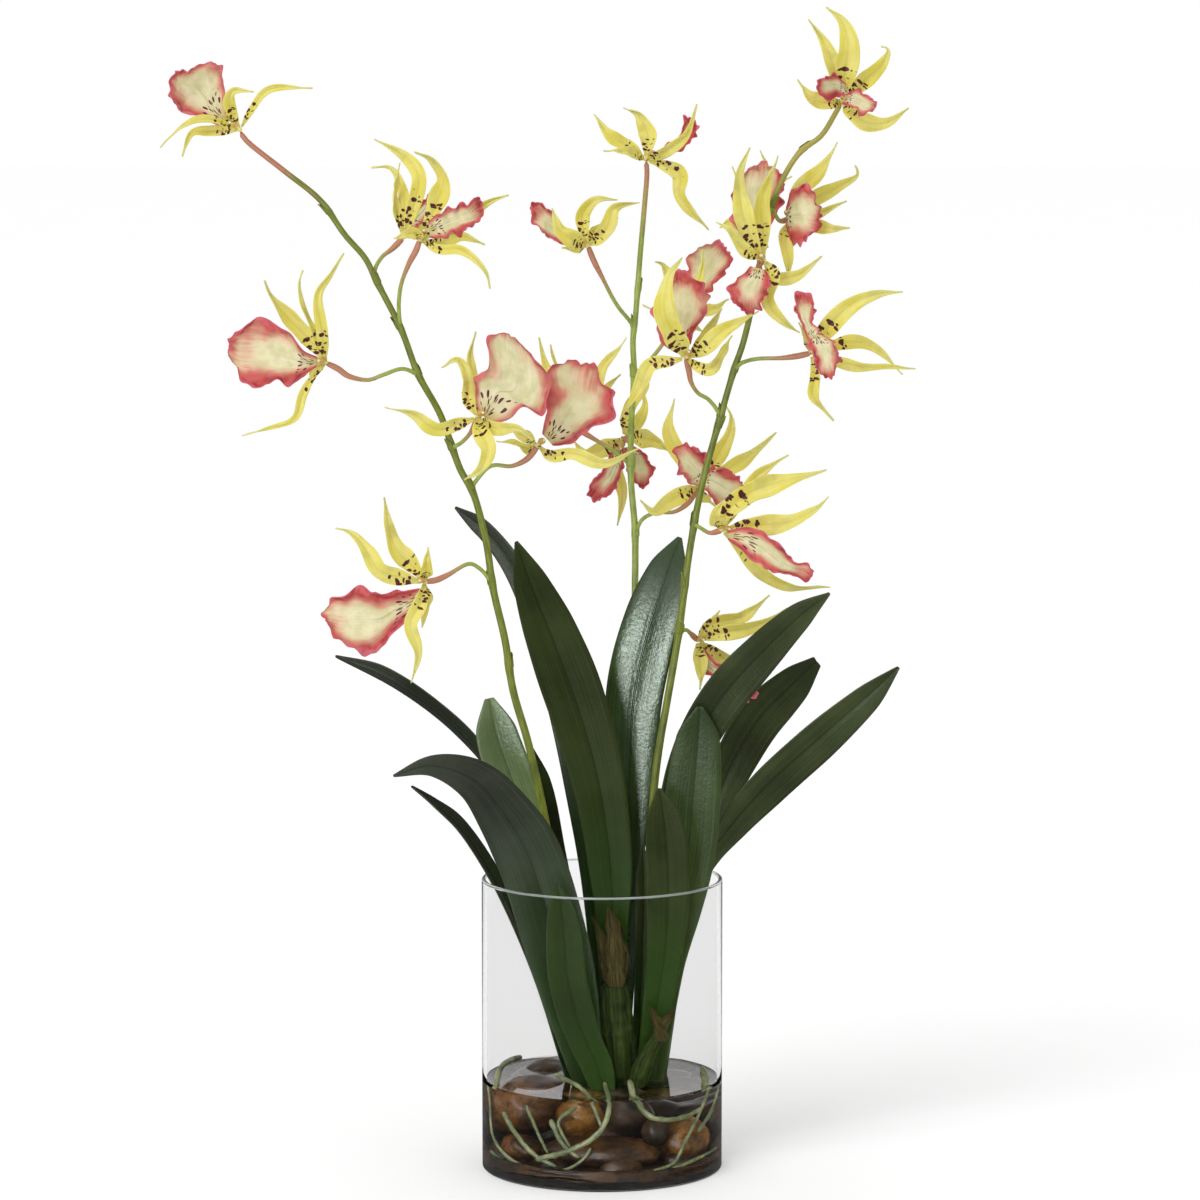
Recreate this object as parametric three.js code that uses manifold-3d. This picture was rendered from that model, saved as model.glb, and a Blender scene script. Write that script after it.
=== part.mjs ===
// A potted spider orchid: three flower spikes and fifteen strap leaves in a clear glass cylinder,
// with river stones and roots under a solid clear water fill.
// Millimetres, +Z up. The origin is the centre of the vase's flat foot, and -Y is the front.
import * as THREE from "three";
import { mergeVertices } from "three/addons/utils/BufferGeometryUtils.js";
import Module from "manifold-3d";

const wasm = await Module();
wasm.setup();

// Driving dimensions
const vase = { radius: 76.2, height: 185, wall: 4.8, floor: 10, footRound: 4, rimRound: 1.6 };
const waterLevel = 56;
const gap = 0.3;
const crownHeight = 58;
const spikeRadius = 2.4;
const pedicelRadius = 1.5;
const rootRadius = 1.8;
const heartRadius = 4;
const columnRadius = 2.2;
const tepalThickness = 1.1;
const lipThickness = 1.2;
const leafThickness = 1.8;
const leafFold = 0.24;
const tepalFold = 0.3;
const lipCup = 0.12;

// The view that the plant's free shapes are measured in. A point is [across, down, depth]: its place in that
// picture, in pixels, and its depth in millimetres behind (+) or in front of (-) the vase's axis.
const view = {
  place: new THREE.Vector3(-1.3, -3001, 696.2),
  pitch: THREE.MathUtils.degToRad(6.36),
  focal: 4800,
  centre: 600,
};

function fromPicture([across, down, depth]) {
  const right = (across - view.centre) / view.focal;
  const up = (view.centre - down) / view.focal;
  const forward = Math.cos(view.pitch) + up * Math.sin(view.pitch);
  const rise = up * Math.cos(view.pitch) - Math.sin(view.pitch);
  const reach = (depth - view.place.y) / forward;
  return new THREE.Vector3(view.place.x + reach * right, depth, view.place.z + reach * rise);
}

// Solids
function solidFrom(geometry) {
  const bare = geometry.clone();
  bare.deleteAttribute("normal");
  bare.deleteAttribute("uv");
  const merged = mergeVertices(bare, 1e-4);
  return new wasm.Manifold(
    new wasm.Mesh({
      numProp: 3,
      vertProperties: new Float32Array(merged.attributes.position.array),
      triVerts: new Uint32Array(merged.index.array),
    }),
  );
}

function geometryFrom(solid) {
  const mesh = solid.getMesh();
  const geometry = new THREE.BufferGeometry();
  geometry.setAttribute("position", new THREE.BufferAttribute(mesh.vertProperties, 3));
  geometry.setIndex(new THREE.BufferAttribute(mesh.triVerts, 1));
  geometry.computeVertexNormals();
  return geometry;
}

function joined(geometries) {
  return geometries.map(solidFrom).reduce((whole, next) => whole.add(next));
}

// The largest body of a solid: a cut can leave slivers beside it.
function mainBody(solid) {
  return solid.decompose().reduce((best, next) => (next.volume() > best.volume() ? next : best));
}

const model = new THREE.Group();

function addPiece(name, geometry, colour, roughness) {
  const material = new THREE.MeshStandardMaterial({ color: colour, roughness, metalness: 0 });
  const mesh = new THREE.Mesh(geometry, material);
  mesh.name = name;
  model.add(mesh);
}

// A round rod along a smooth line through the points
function rodGeometry(points, radius, steps, sides = 5) {
  const section = new THREE.Shape();
  for (let side = 0; side < sides; side += 1) {
    const angle = (side / sides) * Math.PI * 2;
    section[side ? "lineTo" : "moveTo"](radius * Math.cos(angle), radius * Math.sin(angle));
  }
  const path = new THREE.CatmullRomCurve3(points, false, "centripetal");
  return new THREE.ExtrudeGeometry(section, { steps, bevelEnabled: false, extrudePath: path });
}

// A blade is a drum whose rings are carried along a line, widened and flattened: a leaf, a tepal or a lip.
// halfWidth is a function of the way along. turn rolls the blade about its line, and fold lifts its edges.
function bladeGeometry({ points, halfWidth, turn = [0, 0], thickness, fold, sides = 4, steps }) {
  const line = new THREE.CatmullRomCurve3(points, false, "centripetal");
  const drum = new THREE.CylinderGeometry(1, 1, 1, sides, steps);
  const spot = drum.attributes.position;
  const away = new THREE.Vector3(0, 1, 0);
  for (let index = 0; index < spot.count; index += 1) {
    const along = THREE.MathUtils.clamp(spot.getY(index) + 0.5, 0, 1);
    const tangent = line.getTangent(along);
    const flat = new THREE.Vector3().crossVectors(away, tangent).normalize();
    const roll = THREE.MathUtils.degToRad(THREE.MathUtils.lerp(turn[0], turn[1], along));
    const across = flat.applyAxisAngle(tangent, roll);
    const out = new THREE.Vector3().crossVectors(across, tangent);
    const half = Math.max(halfWidth(along), thickness * 0.35);
    const side = spot.getX(index);
    const lift = spot.getZ(index) * Math.min(thickness / 2, half) + fold * half * Math.abs(side);
    const place = line.getPoint(along).addScaledVector(across, side * half).addScaledVector(out, lift);
    spot.setXYZ(index, place.x, place.y, place.z);
  }
  return drum;
}

// A width that follows the values given at evenly spaced stations
function widthThrough(values) {
  const places = values.map((value, index) => new THREE.Vector3(index, value, 0));
  const line = new THREE.CatmullRomCurve3(places);
  return (along) => line.getPoint(along).y;
}

// Glass vase
const innerRadius = vase.radius - vase.wall;

function vaseGeometry() {
  const arcSteps = 3;
  const profile = [new THREE.Vector2(0, 0)];
  const arc = (x, z, radius, from, to) => {
    for (let step = 0; step <= arcSteps; step += 1) {
      const angle = THREE.MathUtils.degToRad(from + ((to - from) * step) / arcSteps);
      profile.push(new THREE.Vector2(x + radius * Math.cos(angle), z + radius * Math.sin(angle)));
    }
  };
  arc(vase.radius - vase.footRound, vase.footRound, vase.footRound, -90, 0);
  arc(vase.radius - vase.rimRound, vase.height - vase.rimRound, vase.rimRound, 0, 90);
  arc(innerRadius + vase.rimRound, vase.height - vase.rimRound, vase.rimRound, 90, 180);
  profile.push(new THREE.Vector2(innerRadius, vase.floor), new THREE.Vector2(0, vase.floor));
  return new THREE.LatheGeometry(profile, 36).rotateX(Math.PI / 2);
}

addPiece("glass_vase", vaseGeometry(), 0xe8eeee, 0.05);

// River stones: egg-shaped, each with its centre, half sizes and turn about the vertical, in millimetres.
// They stand on the glass floor or come up through the water's surface.
const stones = [
  { name: "stone_left_low", centre: [-44, -32, 19.5], half: [14, 13, 9], turn: 20, colour: 0x5a4228 },
  { name: "stone_front_pink", centre: [0, -44, 20.5], half: [34, 19, 10], turn: -4, colour: 0x8a6a5c },
  { name: "stone_right_ochre", centre: [43, -26, 24.5], half: [18, 19, 14], turn: 25, colour: 0x8f6a30 },
  { name: "stone_right_small", centre: [30, -46, 33], half: [8, 9, 9.5], turn: 0, colour: 0x3a2c1e },
  { name: "stone_back_right", centre: [34, 24, 25.5], half: [24, 20, 15], turn: -30, colour: 0x2e241b },
  { name: "stone_back_left", centre: [-36, 32, 44], half: [19, 17, 17], turn: 15, colour: 0x3b3028 },
  { name: "stone_back_low", centre: [-18, 46, 19.5], half: [17, 12, 9], turn: 10, colour: 0x4a3826 },
  { name: "stone_left_large", centre: [-42, -14, 43], half: [25, 22, 15.5], turn: -18, colour: 0x6b4a2a },
  { name: "stone_centre", centre: [-11, -36, 40], half: [13, 12, 13], turn: 8, colour: 0x7a5630 },
  { name: "stone_centre_dark", centre: [11, -30, 41], half: [15, 13, 12], turn: -10, colour: 0x3f2e1e },
];

function stoneGeometry({ centre, half, turn }, growth = 0) {
  const geometry = new THREE.IcosahedronGeometry(1, 1);
  geometry.scale(half[0] + growth, half[1] + growth, half[2] + growth);
  geometry.rotateZ(THREE.MathUtils.degToRad(turn));
  return geometry.translate(...centre);
}

// Roots, as lines of points in the picture. They lie close to the glass and over the stones.
const roots = [
  {
    name: "root_left_arc",
    points: [[522, 1057, 30], [509, 1061, 16], [499, 1072, -8], [493, 1100, -22], [497, 1134, -26],
      [516, 1158, -40],
      [548, 1170, -53]],
  },
  {
    name: "root_front_arc",
    points: [[534, 1160, -60], [567, 1151, -66.5], [592, 1138, -68], [604, 1124, -67], [609, 1104, -62],
      [604, 1082, -40]],
  },
  {
    name: "root_left_fork",
    points: [[552, 1118, -62], [564, 1143, -65], [580, 1157, -67.5]],
  },
  {
    name: "root_right_rise",
    points: [[702, 1066, 5], [707, 1084, -8], [702, 1108, -20], [692, 1128, -33], [684, 1144, -42]],
  },
  {
    name: "root_right_thick",
    points: [[629, 1079, -42], [635, 1100, -52], [647, 1115, -60], [664, 1119, -58], [684, 1116, -50],
      [700, 1108, -38]],
  },
];
const rootSteps = 8;

// Keeps a root's line off the glass.
function insideVase(point) {
  const reach = innerRadius - rootRadius - 4 * gap;
  const inwards = Math.min(1, reach / Math.hypot(point.x, point.y));
  const height = Math.max(point.z, vase.floor + rootRadius + 2 * gap);
  return new THREE.Vector3(point.x * inwards, point.y * inwards, height);
}

function rootGeometry({ points }, growth = 0) {
  return rodGeometry(points.map(fromPicture).map(insideVase), rootRadius + growth, rootSteps);
}

// Pseudobulbs and their papery sheaths: spindles of round section
const bulbs = [
  {
    name: "pseudobulb_centre",
    points: [[622, 1098, -14], [620, 1060, -14], [617, 1015, -14], [614, 980, -14]],
    halfWidth: [4, 9, 8.6, 5],
    colour: 0x5d7038,
    sides: 8,
  },
  {
    name: "pseudobulb_right",
    points: [[634, 1094, -27], [641, 1072, -27], [651, 1048, -27], [659, 1034, -27]],
    halfWidth: [2.5, 6.4, 5.2, 2.6],
    colour: 0x64793c,
    sides: 8,
  },
];
const sheaths = [
  {
    name: "sheath_centre",
    points: [[613.6, 978.5, -14], [612, 955, -14.5], [611, 930, -15], [610, 909, -15]],
    halfWidth: [6, 7.8, 5.5, 2],
    colour: 0x7a6a42,
    sides: 6,
  },
  {
    name: "sheath_right",
    points: [[660.2, 1032.6, -27], [663, 1023, -28], [671, 1009, -30]],
    halfWidth: [2.6, 4.6, 1.2],
    colour: 0x8a7a58,
    sides: 6,
  },
];
const spindleSteps = 6;

function spindleGeometry({ points, halfWidth, sides }, growth = 0) {
  const width = widthThrough(halfWidth);
  return bladeGeometry({
    points: points.map(fromPicture),
    halfWidth: (along) => width(along) + growth,
    thickness: 2 * Math.max(...halfWidth) + 2 * growth,
    fold: 0,
    sides,
    steps: spindleSteps,
  });
}

// Everything that the water fill goes round, with a little room
const waterRadius = innerRadius - gap;
const waterDisc = new THREE.CylinderGeometry(waterRadius, waterRadius, waterLevel - vase.floor - gap, 40, 1);
waterDisc.rotateX(Math.PI / 2);
waterDisc.translate(0, 0, (waterLevel + vase.floor + gap) / 2);
let water = solidFrom(waterDisc);
let pile = null;

// Adds a solid to the pile under the water, cut clear of what is there, and makes room for it in the water.
function settle(name, solid, roomy, colour, roughness) {
  const placed = pile ? mainBody(solid.subtract(pile)) : solid;
  pile = pile ? pile.add(roomy) : roomy;
  water = water.subtract(roomy);
  addPiece(name, geometryFrom(placed), colour, roughness);
}

for (const bulb of bulbs) {
  settle(bulb.name, solidFrom(spindleGeometry(bulb)), solidFrom(spindleGeometry(bulb, gap)), bulb.colour, 0.45);
}
for (const root of roots) {
  settle(root.name, solidFrom(rootGeometry(root)), solidFrom(rootGeometry(root, gap)), 0xa9ad84, 0.6);
}
for (const stone of stones) {
  const roomy = solidFrom(stoneGeometry(stone, gap));
  settle(stone.name, solidFrom(stoneGeometry(stone)), roomy, stone.colour, 0.3);
}
addPiece("water_fill", geometryFrom(mainBody(water)), 0xe6e4d6, 0.05);
for (const sheath of sheaths) {
  addPiece(sheath.name, spindleGeometry(sheath), sheath.colour, 0.85);
}

// Leaves: points in the picture from the tip down, half widths in millimetres at even stations, the turn at the
// tip and at the crown in degrees, and the foot on the crown, in millimetres.
const leaves = [
  {
    name: "leaf_left_far",
    points: [[335, 656, 84], [385, 676, 77], [440, 714, 64], [480, 754, 53], [520, 815, 42], [556, 900, 34]],
    halfWidth: [0.8, 6.5, 8, 8.5, 8, 7, 5, 3.5],
    turn: [150, 100],
    foot: [-12, 25],
  },
  {
    name: "leaf_left_front",
    points: [[393, 776, -80], [432, 766, -74], [474, 780, -62], [508, 820, -44], [531, 862, -30], [553, 932, -22],
      [572, 1005, -17]],
    halfWidth: [0.8, 6, 12, 17, 20.5, 21, 20, 15.5, 6],
    turn: [14, 0],
    foot: [-8, -14],
    thickness: 2.4,
  },
  {
    name: "leaf_front_short",
    points: [[557, 884, -42], [562, 912, -42], [565, 945, -41], [569, 985, -39], [583, 1035, -36], [597, 1066, -33]],
    halfWidth: [0.8, 8.5, 11.5, 12.2, 11.8, 10.5, 9, 4.4],
    turn: [0, 0],
    foot: [2, -31],
  },
  {
    name: "leaf_left_thin",
    points: [[411, 786, 30], [432, 802, 26], [457, 824, 20], [484, 862, 11], [507, 905, 3], [540, 985, -2]],
    halfWidth: [0.8, 5, 8, 9, 9, 8, 6, 3.5],
    turn: [76, 60],
    foot: [-20, -4],
  },
  {
    name: "leaf_left_short",
    points: [[489, 698, 16], [499, 742, 13], [516, 790, 10], [537, 850, 8], [562, 930, 7]],
    halfWidth: [3, 13, 14.5, 14, 12, 9, 5, 3.5],
    turn: [0, 10],
    foot: [-12, 8],
  },
  {
    name: "leaf_left_dark",
    points: [[530, 748, 28], [543, 795, 24], [553, 850, 22], [570, 930, 20]],
    halfWidth: [2, 7, 8, 8, 7, 5, 3.5],
    turn: [30, 20],
    foot: [-7, 16],
  },
  {
    name: "leaf_back_left",
    points: [[455, 507, 95], [487, 532, 88], [521, 580, 80], [560, 700, 63], [588, 850, 43]],
    halfWidth: [0.8, 6, 6.8, 8, 9, 9, 6, 3.5],
    turn: [-20, 0],
    foot: [2, 30],
  },
  {
    name: "leaf_centre_tall",
    points: [[516, 541, -36], [529, 580, -29], [553, 640, -20], [577, 705, -13], [597, 775, -8],
      [609, 850, -4],
      [613, 930, -1]],
    halfWidth: [1, 10, 16.5, 19, 18, 16, 14, 9, 4],
    turn: [14, -6],
    foot: [5, 3],
  },
  {
    name: "leaf_centre_right",
    points: [[680, 537, 27], [668, 570, 25], [650, 625, 22], [635, 690, 20], [630, 760, 18], [628, 850, 16]],
    halfWidth: [1.5, 12, 17.5, 19, 18, 15, 10, 4],
    turn: [-22, 0],
    foot: [12, 13],
  },
  {
    name: "leaf_right_upper",
    points: [[830, 593, -62], [800, 616, -52], [760, 655, -38], [722, 698, -26], [694, 745, -16],
      [672, 812, -8],
      [660, 900, -3]],
    halfWidth: [0.8, 8, 12, 14, 13.5, 12, 9, 7, 3.5],
    turn: [-16, 20],
    foot: [32, 5],
  },
  {
    name: "leaf_right_round",
    points: [[817, 661, 80], [793, 684, 73], [760, 718, 61], [730, 770, 46], [702, 842, 29], [679, 915, 21]],
    halfWidth: [4, 11.5, 15, 14.5, 12, 9, 6, 3.5],
    turn: [14, -10],
    foot: [28, 20],
  },
  {
    name: "leaf_right_far",
    points: [[899, 667, -22], [868, 696, -15], [815, 742, -6], [766, 786, 3], [732, 824, 7], [706, 860, 10],
      [688, 905, 10]],
    halfWidth: [1, 9.5, 14.5, 15.5, 13, 9.5, 6, 3.5],
    turn: [6, 60],
    foot: [38, 12],
  },
  {
    name: "leaf_right_short",
    points: [[700, 706, -28], [698, 738, -26], [693, 795, -24], [688, 850, -20], [679, 905, -16],
      [668, 965, -13]],
    halfWidth: [2, 13, 17, 18, 17, 13, 8, 3.5],
    turn: [0, -16],
    foot: [34, -5],
  },
  {
    name: "leaf_right_front",
    points: [[659, 788, -44], [664, 820, -42], [668, 862, -39], [668, 905, -34], [664, 960, -27]],
    halfWidth: [1, 11, 13.5, 13.5, 12, 9, 3.5],
    turn: [0, 0],
    foot: [25, -14],
  },
  {
    name: "leaf_centre_narrow",
    points: [[643, 846, 0], [644, 900, 0], [642, 970, 1]],
    halfWidth: [1, 5, 5.5, 5, 4, 3],
    turn: [0, 0],
    foot: [21, 3],
  },
];
const leafSteps = 16;

for (const { name, points, halfWidth, turn, foot, thickness = leafThickness } of leaves) {
  const line = [...points.map(fromPicture), new THREE.Vector3(...foot, crownHeight)];
  const geometry = bladeGeometry({
    points: line.reverse(),
    halfWidth: widthThrough([...halfWidth].reverse()),
    turn: [turn[1], turn[0]],
    thickness,
    fold: leafFold,
    steps: leafSteps,
  });
  addPiece(name, geometry, 0x2c4424, 0.35);
}

// Flower spikes, from the crown up. Each ends at its top flower. lean carries a spike and its flowers forwards (-)
// or backwards (+), by that many millimetres at the top of the plant.
const spikes = {
  left: {
    foot: [-9, 0],
    lean: -75,
    points: [[560, 930, -3], [549, 841, -4], [529, 746, -8], [513, 690, -11], [505, 640, -14],
      [493, 588, -17],
      [486, 541, -19], [472, 490, -22], [461, 471, -23], [440, 414, -25], [418, 374, -26], [401, 329, -27],
      [377, 282, -27], [365, 258, -27], [345, 235, -27], [320, 200, -28], [283, 170, -29], [244, 138, -30]],
  },
  middle: {
    foot: [16, 24],
    lean: 65,
    points: [[630, 900, 27], [634, 700, 31], [635, 590, 31], [635, 531, 29], [631, 480, 25], [631, 431, 24],
      [634, 372, 22], [633, 340, 20], [636, 311, 19], [640, 257, 16], [645, 200, 12], [647, 172, 10]],
  },
  right: {
    foot: [24, 13],
    lean: -32,
    points: [[648, 900, 9], [654, 790, 5], [660, 742, 4], [667, 702, 4], [679, 631, 4], [689, 555, 2],
      [702, 485, -1],
      [719, 422, -4], [734, 370, -6], [744, 340, -7], [757, 280, -9], [765, 230, -10], [777, 191, -11],
      [800, 152, -12], [821, 136, -12], [835, 114, -12]],
  },
};

// The lean starts at the vase's rim and grows towards the top of the picture.
const leanFrom = 900;
const leanPower = 1.3;

function leaning(side, [across, down, depth]) {
  const rise = Math.max(0, (leanFrom - down) / leanFrom);
  return fromPicture([across, down, depth + spikes[side].lean * rise ** leanPower]);
}

// Flowers. heart is the point where the tepals meet, and its depth. A pedicel joins the heart to its spike, and
// a flower without one is at the spike's top. A tepal is its half width in millimetres, its turn in degrees, and
// its points from the heart outwards, whose depth is counted from the heart's. A lip has half widths at even
// stations instead.
const flowers = [
  {
    name: "flower_left_top",
    spike: "left",
    heart: [240, 130, -30],
    tepals: [
      [4.2, 20, [229, 104, -4], [233, 91, -8], [254, 92, -10]],
      [5, -10, [251, 111, 4], [268, 90, 6], [313, 88, 4]],
      [5, 30, [205, 119, -10], [182, 127, -14], [160, 148, -16]],
      [4.5, 10, [212, 131, 8], [192, 133, 12], [182, 157, 14]],
      [4, 0, [226, 118, 12], [213, 98, 22], [207, 76, 26]],
    ],
    lip: {
      points: [[226, 118, 2], [209, 103, 4], [192, 88, 2], [180, 78, -2]],
      halfWidth: [3, 14, 16, 8],
      turn: 0,
    },
    column: [222, 110, -4],
  },
  {
    name: "flower_left_second",
    spike: "left",
    pedicel: [[400, 327, -27], [399, 301, -31], [402, 282, -35], [410, 262, -38], [416, 251, -39]],
    heart: [420, 240, -40],
    tepals: [
      [5.5, -10, [436, 206, 2], [444, 180, 4], [430, 158, 2], [414, 152, -2]],
      [5, 30, [440, 229, -6], [460, 223, -10], [487, 203, -12], [509, 195, -12]],
      [4.5, 10, [436, 243, 4], [460, 236, 8], [485, 245, 10]],
      [4.5, 20, [440, 249, -10], [462, 250, -14], [486, 272, -14], [490, 289, -12]],
      [4, 0, [414, 233, -8], [394, 239, -14]],
    ],
    lip: { points: [[432, 226, -6], [450, 216, -14], [478, 214, -18]], halfWidth: [4, 9, 8, 4], turn: 30 },
    column: [428, 212, -6],
  },
  {
    name: "flower_left_second_back",
    spike: "left",
    pedicel: [[377, 282, -27], [375, 270, -23], [382, 257, -18], [392, 249, -15]],
    heart: [403, 238, -13],
    tepals: [
      [5.2, 0, [411, 215, -2], [419, 176, 0], [404, 156, 4], [374, 139, 6]],
      [4.6, 40, [399, 221, 6], [394, 196, 10], [400, 162, 10]],
      [4.4, 10, [403, 190, 14], [391, 168, 18], [371, 168, 20]],
      [4.2, 0, [416, 230, 12], [432, 216, 20]],
    ],
    lip: { points: [[408, 224, 4], [424, 206, 8], [436, 196, 8]], halfWidth: [3, 7, 7, 3], turn: 0 },
    column: [406, 222, 0],
  },
  {
    name: "flower_left_third",
    spike: "left",
    pedicel: [[418, 374, -26], [402, 369, -31], [383, 375, -36], [368, 380, -38], [348, 376, -40], [338, 369, -40]],
    heart: [326, 363, -40],
    tepals: [
      [6.5, 10, [316, 347, 6], [291, 321, 10], [271, 297, 8], [264, 280, 4]],
      [4.2, 30, [314, 332, -4], [303, 306, -8], [298, 284, -8], [303, 270, -6]],
      [5, -10, [322, 330, -12], [318, 293, -16], [330, 275, -16], [344, 253, -12]],
      [4.8, 0, [312, 378, -8], [302, 396, -12], [295, 418, -12], [268, 428, -8], [241, 436, -4]],
      [4, 30, [316, 372, 8], [308, 386, 14]],
    ],
    lip: {
      points: [[316, 362, 0], [297, 359, -2], [274, 355, 0], [250, 350, 2], [232, 346, 4]],
      halfWidth: [4, 9, 17, 20, 10],
      turn: 0,
    },
    column: [312, 352, -8],
  },
  {
    name: "flower_left_fourth",
    heart: [478, 418, -46],
    spike: "left",
    pedicel: [[455, 447, -24], [462, 442, -32], [471, 432, -40]],
    tepals: [
      [5, 0, [460, 423, -2], [437, 429, -4], [414, 414, -6], [384, 407, -6]],
      [4.6, 20, [468, 400, 2], [468, 377, 4], [457, 360, 4], [441, 368, 2]],
      [5.4, -10, [480, 432, -8], [488, 450, -12], [479, 470, -12], [464, 480, -8]],
      [4.6, 20, [496, 428, -10], [518, 428, -14], [533, 441, -14]],
      [4, 0, [474, 390, 12], [470, 352, 16], [476, 331, 16]],
    ],
    lip: {
      points: [[486, 410, 0], [499, 396, 0], [514, 380, 2], [526, 362, 6], [530, 350, 8]],
      halfWidth: [5, 14, 20, 19, 10],
      turn: 0,
    },
    column: [488, 400, -8],
  },
  {
    name: "flower_left_fifth",
    spike: "left",
    pedicel: [[472, 486, -22], [491, 466, -20], [512, 466, -19], [527, 459, -19]],
    heart: [538, 446, -20],
    tepals: [
      [4.6, 0, [552, 456, -6], [572, 453, -10], [604, 463, -12], [639, 448, -10]],
      [4, 20, [524, 436, 4], [510, 430, 6]],
      [4, 40, [530, 450, 8], [516, 444, 12], [496, 441, 12]],
    ],
    lip: {
      points: [[545, 436, 0], [558, 420, 2], [574, 402, 4], [588, 384, 6], [596, 370, 10]],
      halfWidth: [4, 15, 20, 17, 9],
      turn: 0,
    },
    column: [548, 430, -6],
  },
  {
    name: "flower_left_low",
    spike: "left",
    pedicel: [[490, 582, -17], [479, 568, -20], [469, 564, -23], [448, 575, -27], [437, 580, -29]],
    heart: [425, 582, -30],
    tepals: [
      [6, 0, [404, 578, 0], [380, 571, -2], [367, 551, -2], [351, 533, 0], [335, 528, 2]],
      [5.6, 20, [412, 566, 8], [397, 550, 10], [389, 526, 10], [384, 497, 6]],
      [4.5, 0, [420, 604, -10], [410, 624, -14], [418, 652, -14], [411, 683, -10]],
      [4, 20, [426, 566, -6], [428, 547, -8]],
      [4, 30, [428, 598, 8], [422, 628, 12]],
    ],
    lip: {
      points: [[414, 592, 0], [397, 606, 0], [377, 617, 0], [352, 619, 2], [328, 617, 4]],
      halfWidth: [4, 11, 20, 18, 9],
      turn: 0,
    },
    column: [416, 574, -8],
  },
  {
    name: "flower_middle_top",
    spike: "middle",
    heart: [646, 160, 8],
    tepals: [
      [4.8, 0, [628, 146, 0], [610, 136, 0], [594, 114, 2]],
      [4, 30, [626, 152, -8], [603, 151, -10]],
      [5.2, 0, [648, 134, 6], [638, 115, 8], [623, 107, 8]],
      [4.4, 20, [668, 150, -10], [687, 133, -12], [697, 104, -10]],
      [5, 10, [664, 165, -4], [681, 174, -6], [680, 195, -6], [709, 230, -4]],
    ],
    lip: {
      points: [[654, 154, 2], [668, 146, 4], [684, 132, 6], [697, 122, 6]],
      halfWidth: [4, 7, 9, 4],
      turn: 50,
    },
    column: [656, 146, -2],
  },
  {
    name: "flower_middle_second",
    spike: "middle",
    pedicel: [[633, 326, 20], [617, 305, 14], [602, 277, 9], [593, 259, 7]],
    heart: [588, 246, 6],
    tepals: [
      [5.4, 0, [574, 240, -6], [560, 230, -8], [552, 208, -6]],
      [4.6, 10, [583, 228, 4], [583, 214, 6], [596, 200, 6], [618, 200, 4]],
      [5, -10, [599, 238, -4], [609, 224, -6], [614, 208, -6], [640, 202, -4]],
      [4, 0, [598, 230, 12], [618, 217, 16]],
      [4, 30, [578, 248, 8], [562, 248, 12]],
    ],
    lip: {
      points: [[578, 240, 0], [562, 232, 2], [546, 220, 2], [534, 208, 2]],
      halfWidth: [4, 10, 10, 5],
      turn: 20,
    },
    column: [576, 232, -4],
  },
  {
    name: "flower_middle_behind",
    spike: "middle",
    pedicel: [[631, 464, 25], [632, 452, 30], [630, 443, 35]],
    heart: [624, 438, 44],
    tepals: [
      [5.8, 0, [604, 448, 0], [586, 454, 0], [574, 441, 2]],
      [5, 10, [626, 418, 4], [632, 402, 6], [646, 387, 6], [647, 369, 4]],
      [5.6, 0, [642, 438, 0], [655, 442, 0], [669, 451, 2]],
      [5, 0, [614, 466, 8], [622, 494, 10], [617, 526, 8]],
      [4.4, 20, [636, 424, 10], [645, 405, 14], [641, 387, 16]],
    ],
    lip: {
      points: [[622, 448, -2], [619, 462, -4], [617, 480, -4], [617, 497, -2]],
      halfWidth: [5, 14, 16, 11],
      turn: 0,
    },
    column: [618, 452, -7],
  },
  {
    name: "flower_middle_hidden",
    spike: "middle",
    pedicel: [[629, 464, 25], [612, 450, 18], [594, 439, 14], [584, 433, 12]],
    heart: [574, 426, 10],
    tepals: [
      [5, 0, [592, 396, 2], [604, 366, 4], [619, 349, 4], [627, 337, 4]],
      [4.4, 0, [594, 404, 8], [608, 386, 10], [621, 374, 10]],
      [4.6, 20, [562, 400, 4], [546, 366, 6], [539, 337, 6]],
      [4.4, 10, [568, 396, 12], [556, 366, 14], [550, 344, 14]],
      [4.4, 0, [560, 430, 8], [545, 420, 12]],
    ],
    lip: {
      points: [[578, 418, 2], [582, 404, 4], [586, 388, 6], [590, 372, 8]],
      halfWidth: [4, 10, 13, 7],
      turn: 0,
    },
    column: [572, 414, 0],
  },
  {
    name: "flower_middle_large",
    spike: "right",
    pedicel: [[719, 416, -4], [709, 400, -8], [698, 393, -11], [691, 382, -14], [689, 371, -16]],
    heart: [686, 358, -18],
    tepals: [
      [8, 0, [674, 334, -10], [666, 311, -14], [669, 280, -14], [682, 257, -8]],
      [4.4, 10, [699, 346, 4], [709, 328, 4], [722, 308, 2]],
      [5, 0, [702, 350, -4], [720, 333, -6], [741, 321, -6], [759, 311, -4]],
      [4.4, 20, [698, 366, -4], [710, 368, -4], [732, 335, 0]],
      [4.6, 0, [672, 361, 2], [650, 365, 2], [641, 385, 2], [620, 420, 6]],
      [4, 30, [662, 316, 10], [642, 305, 12]],
    ],
    lip: {
      points: [[684, 346, 0], [681, 332, 0], [681, 310, 0], [679, 290, 2], [676, 272, 4]],
      halfWidth: [5, 12, 16, 15, 7],
      turn: 0,
    },
    column: [692, 336, -8],
  },
  {
    name: "flower_middle_far",
    spike: "middle",
    pedicel: [[634, 374, 22], [648, 362, 24], [662, 345, 26], [672, 326, 27]],
    heart: [680, 311, 28],
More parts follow.
